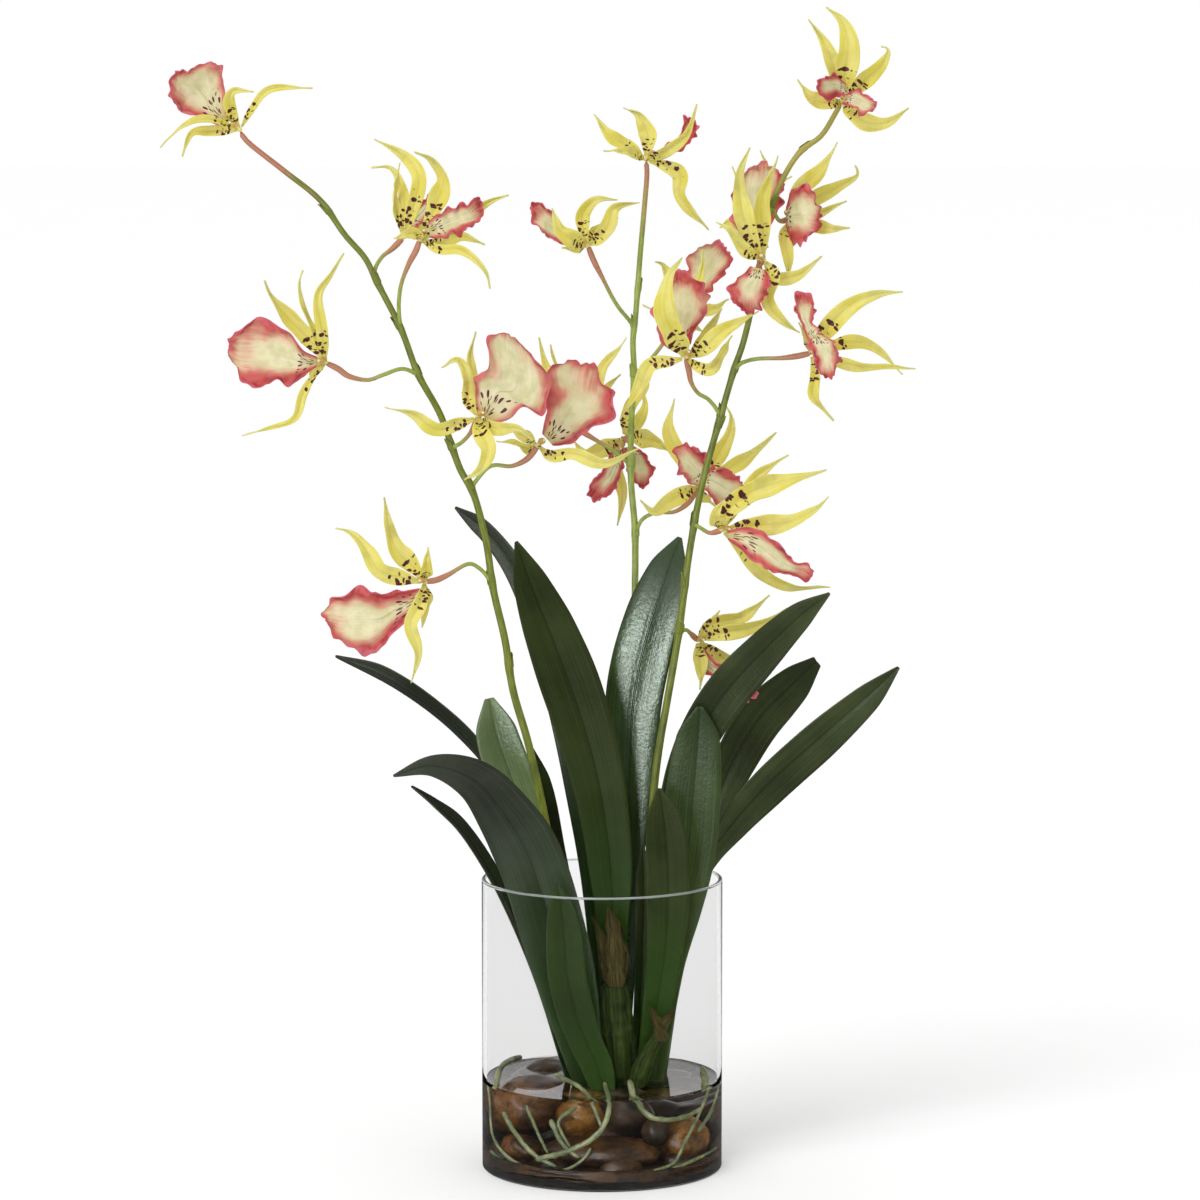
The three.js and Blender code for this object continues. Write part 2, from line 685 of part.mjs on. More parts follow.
    tepals: [
      [4.6, 0, [692, 300, -14], [702, 270, -16], [703, 249, -14]],
      [4.6, 0, [696, 309, 0], [711, 309, 2], [729, 299, 2]],
      [4.6, 20, [673, 286, 2], [663, 266, 4], [655, 262, 0]],
      [4.2, 0, [686, 290, 10], [700, 274, 14], [706, 258, 16]],
      [4.2, 20, [688, 322, 8], [704, 332, 12]],
    ],
    lip: {
      points: [[689, 302, 0], [699, 287, 2], [710, 270, 4], [719, 250, 6]],
      halfWidth: [4, 9, 13, 7],
      turn: 0,
    },
    column: [686, 300, -8],
  },
  {
    name: "flower_right_top",
    spike: "right",
    heart: [842, 101, -12],
    tepals: [
      [4.8, 0, [835, 70, 2], [824, 42, 4], [808, 19, 4]],
      [6.4, 10, [845, 72, -4], [849, 46, -6], [843, 22, -6], [826, 7, -4]],
      [5.4, -10, [858, 87, 0], [882, 63, 0], [888, 50, 0], [881, 46, 2]],
      [5, 0, [829, 103, -6], [811, 98, -8], [797, 79, -8]],
      [5.6, 10, [854, 113, -8], [866, 122, -10], [886, 123, -10], [909, 108, -8]],
    ],
    lip: {
      points: [[840, 96, -4], [832, 86, -10], [838, 80, -18], [856, 94, -24], [872, 102, -24]],
      halfWidth: [3, 8, 9, 7, 4],
      turn: 20,
    },
    column: [849, 82, -4],
  },
  {
    name: "flower_right_second",
    spike: "right",
    pedicel: [[772, 206, -11], [776, 216, -6], [780, 221, -3]],
    heart: [790, 219, 2],
    tepals: [
      [5.6, 0, [800, 190, 2], [820, 172, 2], [838, 142, 4]],
      [5.4, 0, [815, 198, 6], [838, 186, 8], [857, 175, 8], [855, 165, 6]],
      [4.6, 10, [815, 215, 2], [835, 206, 2], [847, 201, 2]],
      [5, 20, [812, 224, -6], [832, 228, -8], [850, 228, -8]],
      [4.6, 0, [786, 240, -6], [788, 260, -8], [788, 279, -6]],
    ],
    lip: {
      points: [[792, 214, -2], [798, 204, -6], [804, 210, -12], [806, 226, -14], [800, 243, -12]],
      halfWidth: [4, 12, 14, 11, 5],
      turn: 0,
    },
    column: [784, 200, -6],
  },
  {
    name: "flower_right_third",
    spike: "right",
    pedicel: [[758, 276, -9], [756, 271, -17], [758, 267, -24]],
    heart: [763, 260, -31],
    tepals: [
      [5.8, 0, [750, 236, -2], [741, 204, -4], [740, 172, -4], [750, 147, -2]],
      [5.2, 0, [763, 236, 4], [762, 200, 6], [778, 155, 4]],
      [4.6, 10, [744, 250, -4], [731, 231, -6], [716, 222, -4]],
      [4.8, 0, [775, 272, -4], [767, 299, -8], [782, 320, -8], [800, 333, -4]],
      [4.6, 0, [776, 278, 4], [797, 275, 6], [822, 256, 6]],
    ],
    lip: {
      points: [[757, 264, -6], [751, 272, -10], [749, 286, -12], [748, 302, -10]],
      halfWidth: [4, 9, 11.5, 7],
      turn: 0,
    },
    column: [760, 246, -8],
  },
  {
    name: "flower_right_third_back",
    spike: "right",
    pedicel: [[764, 238, -10], [761, 230, -3], [760, 224, 4]],
    heart: [758, 216, 12],
    tepals: [
      [4.6, 0, [742, 224, 2], [731, 222, 6], [720, 228, 8]],
      [4.6, 0, [770, 196, 4], [782, 182, 6], [792, 176, 8]],
      [4.6, 0, [764, 190, 10], [766, 168, 12], [760, 150, 12]],
      [4.4, 20, [748, 200, 12], [738, 180, 16], [732, 166, 18]],
      [4.4, 0, [762, 232, 8], [768, 248, 12]],
    ],
    lip: {
      points: [[755, 208, 0], [752, 198, 0], [754, 184, 2], [758, 170, 4]],
      halfWidth: [5, 13, 15, 9],
      turn: 0,
    },
    column: [752, 214, -6],
  },
  {
    name: "flower_right_fourth",
    spike: "right",
    pedicel: [[734, 370, -6], [742, 363, -10], [756, 359, -14], [782, 358, -18], [798, 356, -19]],
    heart: [811, 353, -20],
    tepals: [
      [6, 0, [826, 330, -4], [850, 306, -6], [878, 294, -6], [903, 292, -4]],
      [5.4, 0, [832, 346, 4], [856, 342, 6], [876, 349, 6], [903, 375, 6]],
      [4.8, 20, [834, 360, -6], [862, 366, -8], [890, 366, -8], [916, 369, -6]],
      [4.2, 30, [806, 338, 8], [799, 322, 10]],
      [5.4, 0, [815, 374, -2], [813, 396, -2], [824, 410, 0], [834, 421, 2]],
    ],
    lip: {
      points: [[813, 346, -6], [815, 336, -10], [820, 346, -16], [824, 364, -18]],
      halfWidth: [4, 8, 11, 5],
      turn: -20,
    },
    column: [808, 336, -6],
  },
  {
    name: "flower_right_fifth",
    spike: "middle",
    pedicel: [[635, 534, 27], [642, 520, 25], [655, 513, 23], [674, 512, 20], [686, 505, 18], [692, 498, 17]],
    heart: [698, 487, 16],
    tepals: [
      [5.2, 0, [684, 462, 4], [669, 430, 6], [675, 398, 6]],
      [5.4, 0, [714, 462, 6], [730, 433, 8], [731, 415, 8], [726, 406, 8]],
      [5.4, 0, [720, 474, -4], [750, 454, -4], [777, 432, -2]],
      [5.4, 0, [684, 493, -6], [667, 503, -8], [654, 512, -6], [640, 500, -4]],
      [4.4, 20, [704, 496, 8], [716, 506, 12]],
    ],
    lip: {
      points: [[694, 480, -2], [686, 468, -6], [680, 454, -6], [678, 446, -4]],
      halfWidth: [4, 9, 9, 4],
      turn: 10,
    },
    sideLip: {
      points: [[702, 484, -2], [714, 480, -4], [727, 483, -4], [738, 488, -2]],
      halfWidth: [4, 9, 11, 6],
      turn: 0,
    },
    column: [700, 470, -8],
  },
  {
    name: "flower_right_sixth",
    spike: "right",
    pedicel: [[694, 523, 0], [702, 529, -5], [710, 533, -10]],
    heart: [722, 530, -15],
    tepals: [
      [4.6, 10, [742, 497, 8], [759, 475, 10], [789, 455, 10]],
      [7.4, 0, [728, 510, 0], [752, 492, 2], [790, 481, 2], [827, 470, 2]],
      [6.4, 0, [752, 526, -4], [788, 523, -6], [814, 511, -6], [829, 496, -4]],
      [5.4, 10, [744, 550, 4], [766, 575, 6], [790, 586, 6], [831, 587, 6]],
      [4.4, 0, [716, 514, -8], [724, 500, -12]],
    ],
    lip: {
      points: [[731, 536, -8], [750, 542, -12], [770, 552, -14], [790, 563, -14], [806, 573, -12]],
      halfWidth: [4, 7, 10, 7, 4],
      turn: 0,
    },
    column: [736, 522, -8],
  },
  {
    name: "flower_right_low",
    spike: "right",
    pedicel: [[680, 629, 5], [686, 630, 12], [690, 633, 19]],
    heart: [697, 640, 26],
    tepals: [
      [5, 0, [712, 624, 0], [742, 617, 0], [757, 606, 0], [770, 595, 0]],
      [5.2, 0, [722, 633, -4], [745, 629, -6], [773, 618, -6], [788, 608, -4]],
      [5, 0, [716, 654, 2], [738, 666, 4], [774, 661, 4]],
      [4.2, 0, [700, 662, -4], [700, 690, -6]],
      [4.4, 20, [706, 626, 10], [720, 610, 14]],
    ],
    lip: {
      points: [[702, 650, 0], [714, 662, -2], [730, 677, -2], [746, 692, 0]],
      halfWidth: [4, 9, 11, 6],
      turn: 0,
    },
    column: [706, 636, -6],
  },
];
const tepalSteps = 4;
const lipSteps = 5;
const lipSides = 6;

// A tepal is a third as wide at its heart as at its widest, and runs out to a point.
const tepalWidth = (half) => (along) => half * Math.sin(Math.PI * (0.12 + 0.88 * along));

// How far the depths of a tepal's points reach
const spread = 1.7;

// The line of a tepal, lip or column, which starts inside the heart
function lineFrom({ spike, heart }, points) {
  const centre = leaning(spike, heart);
  const line = points.map(([across, down, offset]) => fromPicture([across, down, centre.y + spread * offset]));
  const start = line[0].clone().sub(centre).setLength(heartRadius * 0.6).add(centre);
  return [start, ...line];
}

function lipGeometry(flower, { points, halfWidth, turn }) {
  return bladeGeometry({
    points: lineFrom(flower, points),
    halfWidth: widthThrough([2, ...halfWidth]),
    turn: [turn, turn],
    thickness: lipThickness,
    fold: lipCup,
    sides: lipSides,
    steps: lipSteps,
  });
}

function flowerSolid(flower) {
  const core = new THREE.OctahedronGeometry(heartRadius, 1).translate(...leaning(flower.spike, flower.heart));
  const pieces = [core, lipGeometry(flower, flower.lip)];
  if (flower.sideLip) {
    pieces.push(lipGeometry(flower, flower.sideLip));
  }
  for (const [half, turn, ...points] of flower.tepals) {
    pieces.push(
      bladeGeometry({
        points: lineFrom(flower, points),
        halfWidth: tepalWidth(half),
        turn: [turn, turn],
        thickness: tepalThickness,
        fold: tepalFold,
        steps: tepalSteps,
      }),
    );
  }
  pieces.push(rodGeometry(lineFrom(flower, [flower.column]), columnRadius, 1));
  return joined(pieces);
}

// A stalk stops this far from its flower's heart.
const stalkStop = heartRadius + gap + 0.9;

// The line of a stalk that ends just short of a flower's heart
function stalkTo(flower, points) {
  const heart = leaning(flower.spike, flower.heart);
  const line = points.map((point) => leaning(flower.spike, point));
  const last = line[line.length - 1];
  const back = last.clone().sub(heart);
  if (back.length() > 2 * stalkStop) {
    line.push(heart.clone().addScaledVector(back.normalize(), stalkStop));
  } else {
    last.copy(heart).addScaledVector(back.normalize(), stalkStop);
  }
  return line;
}

const spikeSteps = 20;
const pedicelSteps = 4;

for (const [side, { foot, points }] of Object.entries(spikes)) {
  const own = flowers.filter((flower) => flower.spike === side);
  const top = own.find((flower) => !flower.pedicel);
  const line = [new THREE.Vector3(...foot, crownHeight), ...stalkTo(top, points)];
  const stem = new THREE.CatmullRomCurve3(line, false, "centripetal");
  const samples = stem.getSpacedPoints(200);
  const stalks = [rodGeometry(line, spikeRadius, spikeSteps)];
  for (const flower of own.filter((other) => other.pedicel)) {
    const route = stalkTo(flower, flower.pedicel);
    const nearest = samples.reduce((best, next) =>
      next.distanceTo(route[0]) < best.distanceTo(route[0]) ? next : best,
    );
    route[0] = nearest.clone();
    stalks.push(rodGeometry(route, pedicelRadius, pedicelSteps));
  }
  addPiece(`spike_${side}`, geometryFrom(joined(stalks)), 0x6e8f3c, 0.5);
}

for (const flower of flowers) {
  addPiece(flower.name, geometryFrom(flowerSolid(flower)), 0xd9cf6a, 0.6);
}

export default model;
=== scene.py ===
# A potted spider orchid in a clear glass cylinder: the looks of every piece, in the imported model's frame
import bisect
import math
import random

import bpy
from mathutils import Matrix, Vector, noise


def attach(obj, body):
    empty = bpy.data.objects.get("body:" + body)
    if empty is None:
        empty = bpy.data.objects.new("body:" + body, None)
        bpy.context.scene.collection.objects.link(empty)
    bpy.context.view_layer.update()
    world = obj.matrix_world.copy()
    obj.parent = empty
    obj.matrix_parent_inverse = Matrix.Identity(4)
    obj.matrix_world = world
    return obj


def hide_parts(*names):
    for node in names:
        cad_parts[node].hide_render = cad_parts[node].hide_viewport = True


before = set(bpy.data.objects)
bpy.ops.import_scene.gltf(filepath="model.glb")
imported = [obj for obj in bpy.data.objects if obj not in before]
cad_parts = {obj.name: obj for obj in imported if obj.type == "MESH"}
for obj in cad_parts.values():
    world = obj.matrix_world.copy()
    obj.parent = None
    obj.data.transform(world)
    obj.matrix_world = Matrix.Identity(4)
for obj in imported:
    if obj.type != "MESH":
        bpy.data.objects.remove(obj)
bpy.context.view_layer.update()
chance = random.Random(23)
mm = 0.001
print("frame loaded,", len(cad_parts), "nodes")

# The view that the free shapes were measured in: pixels of a 1200 by 1200 picture, and a depth in millimetres
# behind (+) or in front of (-) the vase's axis
view = {"place": Vector((-1.3, -3001, 696.2)), "pitch": math.radians(6.36), "focal": 4800, "centre": 600}


def fromPicture(across, down, depth):
    right = (across - view["centre"]) / view["focal"]
    up = (view["centre"] - down) / view["focal"]
    forward = math.cos(view["pitch"]) + up * math.sin(view["pitch"])
    rise = up * math.cos(view["pitch"]) - math.sin(view["pitch"])
    reach = (depth - view["place"].y) / forward
    return Vector((view["place"].x + reach * right, depth, view["place"].z + reach * rise)) * mm


def smooth(value, low, high):
    share = min(1, max(0, (value - low) / (high - low)))
    return share * share * (3 - 2 * share)


class SmoothLine:
    # a smooth curve through points, read by its share of the length or of the points
    def __init__(self, points, perPart=16):
        ends = [2 * points[0] - points[1], *points, 2 * points[-1] - points[-2]]
        self.spots = []
        for before, start, end, after in zip(ends, ends[1:], ends[2:], ends[3:]):
            gapIn, gap, gapOut = [
                max(1e-6, (b - a).length) ** 0.5 for a, b in ((before, start), (start, end), (end, after))
            ]
            leave = ((start - before) / gapIn - (end - before) / (gapIn + gap) + (end - start) / gap) * gap
            arrive = ((end - start) / gap - (after - start) / (gap + gapOut) + (after - end) / gapOut) * gap
            for step in range(perPart):
                t = step / perPart
                self.spots.append(
                    start * (2 * t**3 - 3 * t**2 + 1)
                    + leave * (t**3 - 2 * t**2 + t)
                    + end * (3 * t**2 - 2 * t**3)
                    + arrive * (t**3 - t**2)
                )
        self.spots.append(points[-1].copy())
        self.lengths = [0]
        for a, b in zip(self.spots, self.spots[1:]):
            self.lengths.append(self.lengths[-1] + (b - a).length)
        self.length = self.lengths[-1]
        self.sides = []
        side = self.spots[1].cross(Vector((0.3, 1, 0.2)))
        for index in range(len(self.spots)):
            tangent = self.tangentAt(index)
            side = (side - tangent * side.dot(tangent)).normalized()
            if side.length < 0.5:
                side = tangent.orthogonal().normalized()
            self.sides.append(side)

    def tangentAt(self, index):
        low, high = max(0, index - 1), min(len(self.spots) - 1, index + 1)
        return (self.spots[high] - self.spots[low]).normalized()

    def place(self, share):
        reach = min(1, max(0, share)) * self.length
        index = min(len(self.spots) - 2, max(0, bisect.bisect_right(self.lengths, reach) - 1))
        part = self.lengths[index + 1] - self.lengths[index]
        return index, (reach - self.lengths[index]) / part if part else 0

    def at(self, share):
        index, part = self.place(share)
        return self.spots[index].lerp(self.spots[index + 1], part)

    def tangent(self, share):
        index, part = self.place(share)
        return self.tangentAt(index).lerp(self.tangentAt(index + 1), part).normalized()

    def side(self, share):
        index, part = self.place(share)
        return self.sides[index].lerp(self.sides[index + 1], part).normalized()

    def shareOf(self, pointShare):
        where = pointShare * (len(self.spots) - 1)
        index = min(len(self.spots) - 2, int(where))
        part = where - index
        return (self.lengths[index] * (1 - part) + self.lengths[index + 1] * part) / self.length

    def nearest(self, point):
        index = min(range(len(self.spots)), key=lambda spot: (self.spots[spot] - point).length)
        return self.lengths[index] / self.length


def through(values):
    line = SmoothLine([Vector((index, value, 0)) for index, value in enumerate(values)])
    return lambda share: line.at(line.shareOf(share)).y


def added(primitive, name, **settings):
    bpy.ops.object.select_all(action="DESELECT")
    primitive(**settings)
    piece = bpy.context.object
    piece.name = name
    return piece


# Sheets and tubes start as a flat grid, whose x goes across and whose y goes along
def grid(name, acrossSteps, alongSteps):
    steps = {"x_subdivisions": acrossSteps, "y_subdivisions": alongSteps}
    return added(bpy.ops.mesh.primitive_grid_add, name, size=2, **steps)


def sheet(piece):
    # each vertex of a grid, how far across it is (-1 to 1) and how far along (0 to 1)
    for vertex in piece.data.vertices:
        yield vertex, vertex.co.x, (vertex.co.y + 1) / 2


def uneven(x, y, z):
    return noise.noise(Vector((x, y, z)))


def blade(name, line, halfWidth, roll, lift, acrossSteps, alongSteps, byPoints=False):
    piece = grid(name, acrossSteps, alongSteps)
    for vertex, across, along in sheet(piece):
        share = line.shareOf(along) if byPoints else along
        tangent = line.tangent(share)
        flat = Vector((0, 1, 0)).cross(tangent).normalized()
        side = Matrix.Rotation(roll(along), 3, tangent) @ flat
        half = halfWidth(along)
        vertex.co = line.at(share) + side * (across * half) + side.cross(tangent) * lift(across, along, half)
    return piece


def tube(name, line, radius, sides, steps, ribs=0, ribDepth=0, wander=0):
    piece = grid(name, sides, steps)
    for vertex, across, along in sheet(piece):
        angle = math.pi * across
        side, tangent, centre = line.side(along), line.tangent(along), line.at(along)
        out = side * math.cos(angle) + tangent.cross(side) * math.sin(angle)
        reach = radius(along) * (1 + ribDepth * math.cos(ribs * angle))
        reach *= 1 + wander * noise.noise((centre + out * 0.003) * 260)
        vertex.co = centre + out * reach
    return closeSeams(piece)


def rounded(along, length, end):
    # how far a rod's radius has grown, near its two ends
    near = min(along, 1 - along) * length / end
    return math.sqrt(max(0, 1 - (1 - min(1, near)) ** 2))


def closeSeams(piece):
    bpy.ops.object.mode_set(mode="EDIT")
    bpy.ops.mesh.select_all(action="SELECT")
    bpy.ops.mesh.remove_doubles(threshold=1e-6)
    bpy.ops.mesh.normals_make_consistent(inside=False)
    bpy.ops.object.mode_set(mode="OBJECT")
    return piece


def only(piece):
    bpy.ops.object.select_all(action="DESELECT")
    piece.select_set(True)
    bpy.context.view_layer.objects.active = piece


def thicken(piece, thickness):
    only(piece)
    shell = piece.modifiers.new("thickness", "SOLIDIFY")
    shell.thickness = thickness
    shell.offset = 0
    bpy.ops.object.modifier_apply(modifier=shell.name)
    return refine(piece)


def refine(piece):
    only(piece)
    finer = piece.modifiers.new("finer", "SUBSURF")
    finer.levels = finer.render_levels = 1
    bpy.ops.object.modifier_apply(modifier=finer.name)
    return piece


def together(pieces, name):
    only(pieces[0])
    for piece in pieces[1:]:
        piece.select_set(True)
    bpy.ops.object.join()
    pieces[0].name = name
    return pieces[0]


def dress(piece, slotName, nodes, *paints, angle=60):
    only(piece)
    bpy.ops.object.shade_smooth_by_angle(angle=math.radians(angle))
    indexes = [face.material_index for face in piece.data.polygons]
    piece.data.materials.clear()
    for paint in paints:
        piece.data.materials.append(paint)
    for face, index in zip(piece.data.polygons, indexes):
        face.material_index = min(index, len(paints) - 1)
    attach(piece, "root")
    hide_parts(*nodes)
    return piece


# Materials. A wire is one output of a node, and sums of wires add their own nodes.
class Wire:
    def __init__(self, paint, socket):
        self.paint, self.socket = paint, socket

    def sum(self, operation, first, second=0.0):
        return self.paint.node("ShaderNodeMath", {"operation": operation}, {0: first, 1: second})

    def __add__(self, other):
        return self.sum("ADD", self, other)

    def __radd__(self, other):
        return self.sum("ADD", other, self)

    def __sub__(self, other):
        return self.sum("SUBTRACT", self, other)

    def __rsub__(self, other):
        return self.sum("SUBTRACT", other, self)

    def __mul__(self, other):
        return self.sum("MULTIPLY", self, other)

    def __rmul__(self, other):
        return self.sum("MULTIPLY", other, self)

    def least(self, other):
        return self.sum("MINIMUM", self, other)

    def most(self, other):
        return self.sum("MAXIMUM", self, other)

    def size(self):
        return self.sum("ABSOLUTE", self)

    def angleTo(self, other):
        return self.sum("ARCTAN2", self, other)

    def rise(self, low, high):
        # 0 below low and 1 above high, with a soft step between
        settings = {"interpolation_type": "SMOOTHSTEP", "clamp": True}
        return self.paint.node("ShaderNodeMapRange", settings, {0: self, 1: low, 2: high})

    def other(self, output):
        # another output of the same node
        return Wire(self.paint, self.socket.node.outputs[output])


class Paint:
    def __init__(self, name, kind="materials"):
        self.owner = getattr(bpy.data, kind).new(name)
        self.owner.use_nodes = True
        self.tree = self.owner.node_tree
        self.tree.nodes.clear()

    def node(self, kind, settings=None, sockets=None, output=0):
        made = self.tree.nodes.new(kind)
        for key, value in (settings or {}).items():
            setattr(made, key, value)
        for key, value in (sockets or {}).items():
            if isinstance(value, Wire):
                self.tree.links.new(value.socket, made.inputs[key])
            else:
                made.inputs[key].default_value = value
        return Wire(self, made.outputs[output]) if made.outputs else None

    def place(self):
        return self.node("ShaderNodeTexCoord", output="Object")

    def sheetPlace(self):
        # 0 to 1 across, and 0 to 1 along, on a piece that began as a grid
        split = self.node("ShaderNodeSeparateXYZ", None, {0: self.node("ShaderNodeTexCoord", output="UV")})
        return split, split.other(1)

    def spot(self, x, y, z=0.0):
        return self.node("ShaderNodeCombineXYZ", None, {0: x, 1: y, 2: z})

    def noise(self, where, scale, detail=3.0, rough=0.5):
        sockets = {"Vector": where, "Scale": scale, "Detail": detail, "Roughness": rough}
        return self.node("ShaderNodeTexNoise", None, sockets)

    def cells(self, where, scale, randomness):
        sockets = {"Vector": where, "Scale": scale, "Randomness": randomness}
        return self.node("ShaderNodeTexVoronoi", None, sockets)

    def mix(self, share, first, second):
        return self.node("ShaderNodeMix", {"data_type": "RGBA"}, {0: share, 6: first, 7: second}, output=2)

    def bump(self, height, distance, strength=1.0):
        sockets = {"Height": height, "Distance": distance, "Strength": strength}
        return self.node("ShaderNodeBump", None, sockets)

    def surface(self, sockets):
        return self.node("ShaderNodeBsdfPrincipled", None, sockets)

    def cover(self, share, under, over):
        return self.node("ShaderNodeMixShader", None, {0: share, 1: under, 2: over})

    def done(self, shader, output="ShaderNodeOutputMaterial"):
        self.node(output, None, {"Surface": shader})
        return self.owner

    def finish(self, sockets):
        return self.done(self.surface(sockets))


def colour(red, green, blue):
    # a picture's 0 to 255 as the light that Blender reckons with
    parts = [part / 255 for part in (red, green, blue)]
    light = [part / 12.92 if part < 0.04045 else ((part + 0.055) / 1.055) ** 2.4 for part in parts]
    return (*light, 1.0)


def shades(**parts):
    return {part: colour(*values) for part, values in parts.items()}


def tepalPaint():
    look = shades(
        yellow=(214, 202, 78), pale=(226, 217, 126), olive=(178, 168, 62), tip=(206, 206, 136),
        base=(200, 194, 106), mark=(84, 26, 26),
    )
    paint = Paint("spottedTepal")
    across, along = paint.sheetPlace()
    middle = (across * 2 - 1).size()
    cloud = paint.noise(paint.place(), 60)
    streaks = paint.noise(paint.spot(across * 18, along * 2.4), 1)
    skin = paint.mix((cloud * 0.8 + streaks * 0.7 - 0.25).rise(0.3, 0.7), look["yellow"], look["pale"])
    # painted shade: olive darkening along the midrib crease, where the folded tepal lies in shade
    skin = paint.mix((1 - middle.rise(0, 0.3)) * 0.18, skin, look["olive"])
    skin = paint.mix(cloud.rise(0.5, 0.72) * 0.5, skin, look["olive"])
    skin = paint.mix(along.rise(0.62, 1) * 0.7, skin, look["tip"])
    skin = paint.mix((1 - along.rise(0.0, 0.16)) * 0.55, skin, look["base"])
    warp = (paint.noise(paint.place(), 260) - 0.5) * 1.1
    bars = paint.cells(paint.spot(across * 1.7 + warp, along * 19 + warp, 0), 1, 0.85)
    window = along.rise(0.04, 0.09) * (1 - (along + (cloud - 0.5) * 0.3).rise(0.27, 0.4))
    marks = (window * 0.5 - bars).rise(0, 0.06)
    skin = paint.mix(marks, skin, look["mark"])
    height = streaks * 0.5 + cloud * 0.4 - (1 - middle.rise(0, 0.12)) * 0.4
    return paint.finish(
        {
            "Base Color": skin,
            "Roughness": streaks * 0.2 + 0.42,
            "Specular IOR Level": 0.35,
            "Subsurface Weight": 0.1,
            "Subsurface Radius": (0.9, 0.8, 0.3),
            "Subsurface Scale": 0.002,
            "Normal": paint.bump(height, 0.0006, 0.6),
        }
    )


def lipPaint():
    look = shades(
        cream=(220, 213, 174), green=(204, 200, 152), coral=(194, 80, 76), deep=(160, 42, 52),
        blush=(212, 142, 120), rim=(208, 112, 128), throat=(196, 176, 98), mark=(100, 26, 32),
    )
    paint = Paint("ruffledLip")
    across, along = paint.sheetPlace()
    side = across * 2 - 1
    middle = side.size()
    fan = side.angleTo(along + 0.16)
    cloud = paint.noise(paint.place(), 48, 2)
    fine = paint.noise(paint.place(), 150, 3)
    rays = paint.noise(paint.spot(fan * 11, along * 1.8), 1, 3)
    inside = (1 - middle).least((1 - along) * 2.1)
    patch = paint.noise(paint.place(), 20, 1)
    wavy = inside + (rays - 0.5) * 0.35 + (cloud - 0.5) * 0.9 + (patch - 0.5) * 0.9 + (fine - 0.5) * 0.2
    skin = paint.mix((rays * 0.3 + fine * 0.7).rise(0.4, 0.62), look["cream"], look["green"])
    skin = paint.mix((1 - along.rise(0.02, 0.2)) * 0.6, skin, look["throat"])
    red = paint.mix((fine * 0.5 + rays * 0.5).rise(0.42, 0.62), look["coral"], look["deep"])
    skin = paint.mix((1 - wavy.rise(0.22, 0.7)) * 0.75, skin, look["blush"])
    skin = paint.mix(1 - wavy.rise(0.08, 0.53), skin, red)
    rim = 1 - (inside + (fine - 0.5) * 0.12).rise(0, 0.14)
    skin = paint.mix(rim * (1 - cloud.rise(0.44, 0.62) * 0.7) * 0.8, skin, look["rim"])
    dashes = paint.cells(paint.spot(fan * 4.4 + (fine - 0.5) * 0.8, along * 10), 1, 0.9)
    window = along.rise(0.02, 0.07) * (1 - along.rise(0.24, 0.42)) * (1 - middle.rise(0.5, 0.85))
    skin = paint.mix((window * 0.44 - dashes).rise(0, 0.05), skin, look["mark"])
    height = rays * 0.7 + fine * 0.5 - (1 - middle.rise(0, 0.05)) * 0.5 * (1 - along.rise(0.4, 0.7))
    return paint.finish(
        {
            "Base Color": skin,
            "Roughness": rays * 0.2 + 0.46,
            "Specular IOR Level": 0.3,
            "Subsurface Weight": 0.12,
            "Subsurface Radius": (1, 0.5, 0.35),
            "Subsurface Scale": 0.002,
            "Normal": paint.bump(height, 0.0007, 0.7),
        }
    )


def columnPaint():
    look = shades(cream=(228, 212, 132), amber=(196, 160, 84), mark=(96, 34, 30), cap=(240, 232, 190))
    paint = Paint("amberColumn")
    along = paint.sheetPlace()[1]
    cloud = paint.noise(paint.place(), 320)
    skin = paint.mix((along + (cloud - 0.5) * 0.5).rise(0.2, 0.72), look["cream"], look["amber"])
    skin = paint.mix((cloud - 0.12 * along).rise(0.56, 0.62) * 0.8, skin, look["mark"])
    skin = paint.mix((along + (cloud - 0.5) * 0.12).rise(0.84, 0.9), skin, look["cap"])
    return paint.finish(
        {"Base Color": skin, "Roughness": cloud * 0.2 + 0.35, "Normal": paint.bump(cloud, 0.0005, 0.6)}
    )


def stalkPaint(name, blushFrom, blushTo, grains=60, pale=False, blush=(188, 116, 96)):
    look = shades(
        green=(97, 109, 28), light=(132, 141, 46), dark=(74, 86, 34), speck=(104, 84, 44), blush=blush,
    )
    if pale:
        look.update(shades(green=(130, 150, 58), light=(166, 182, 90), dark=(104, 122, 48)))
    paint = Paint(name)
    around, along = paint.sheetPlace()
    cloud = paint.noise(paint.place(), 45)
    fine = paint.noise(paint.place(), 420)
    grain = paint.noise(paint.spot(around * 16, along * grains), 1)
    skin = paint.mix(grain.rise(0.3, 0.7), look["green"], look["light"])
    skin = paint.mix(cloud.rise(0.5, 0.75) * 0.6, skin, look["dark"])
    blushed = (along + (cloud - 0.5) * 0.12).rise(blushFrom, blushTo)
    skin = paint.mix(blushed * (0.75 + grain * 0.2), skin, look["blush"])
    skin = paint.mix(fine.rise(0.66, 0.74) * 0.6, skin, look["speck"])
    return paint.finish(
        {
            "Base Color": skin,
            "Roughness": grain * 0.2 + 0.36,
            "Specular IOR Level": 0.4,
            "Normal": paint.bump(grain + fine * 0.4, 0.0004, 0.6),
        }
    )


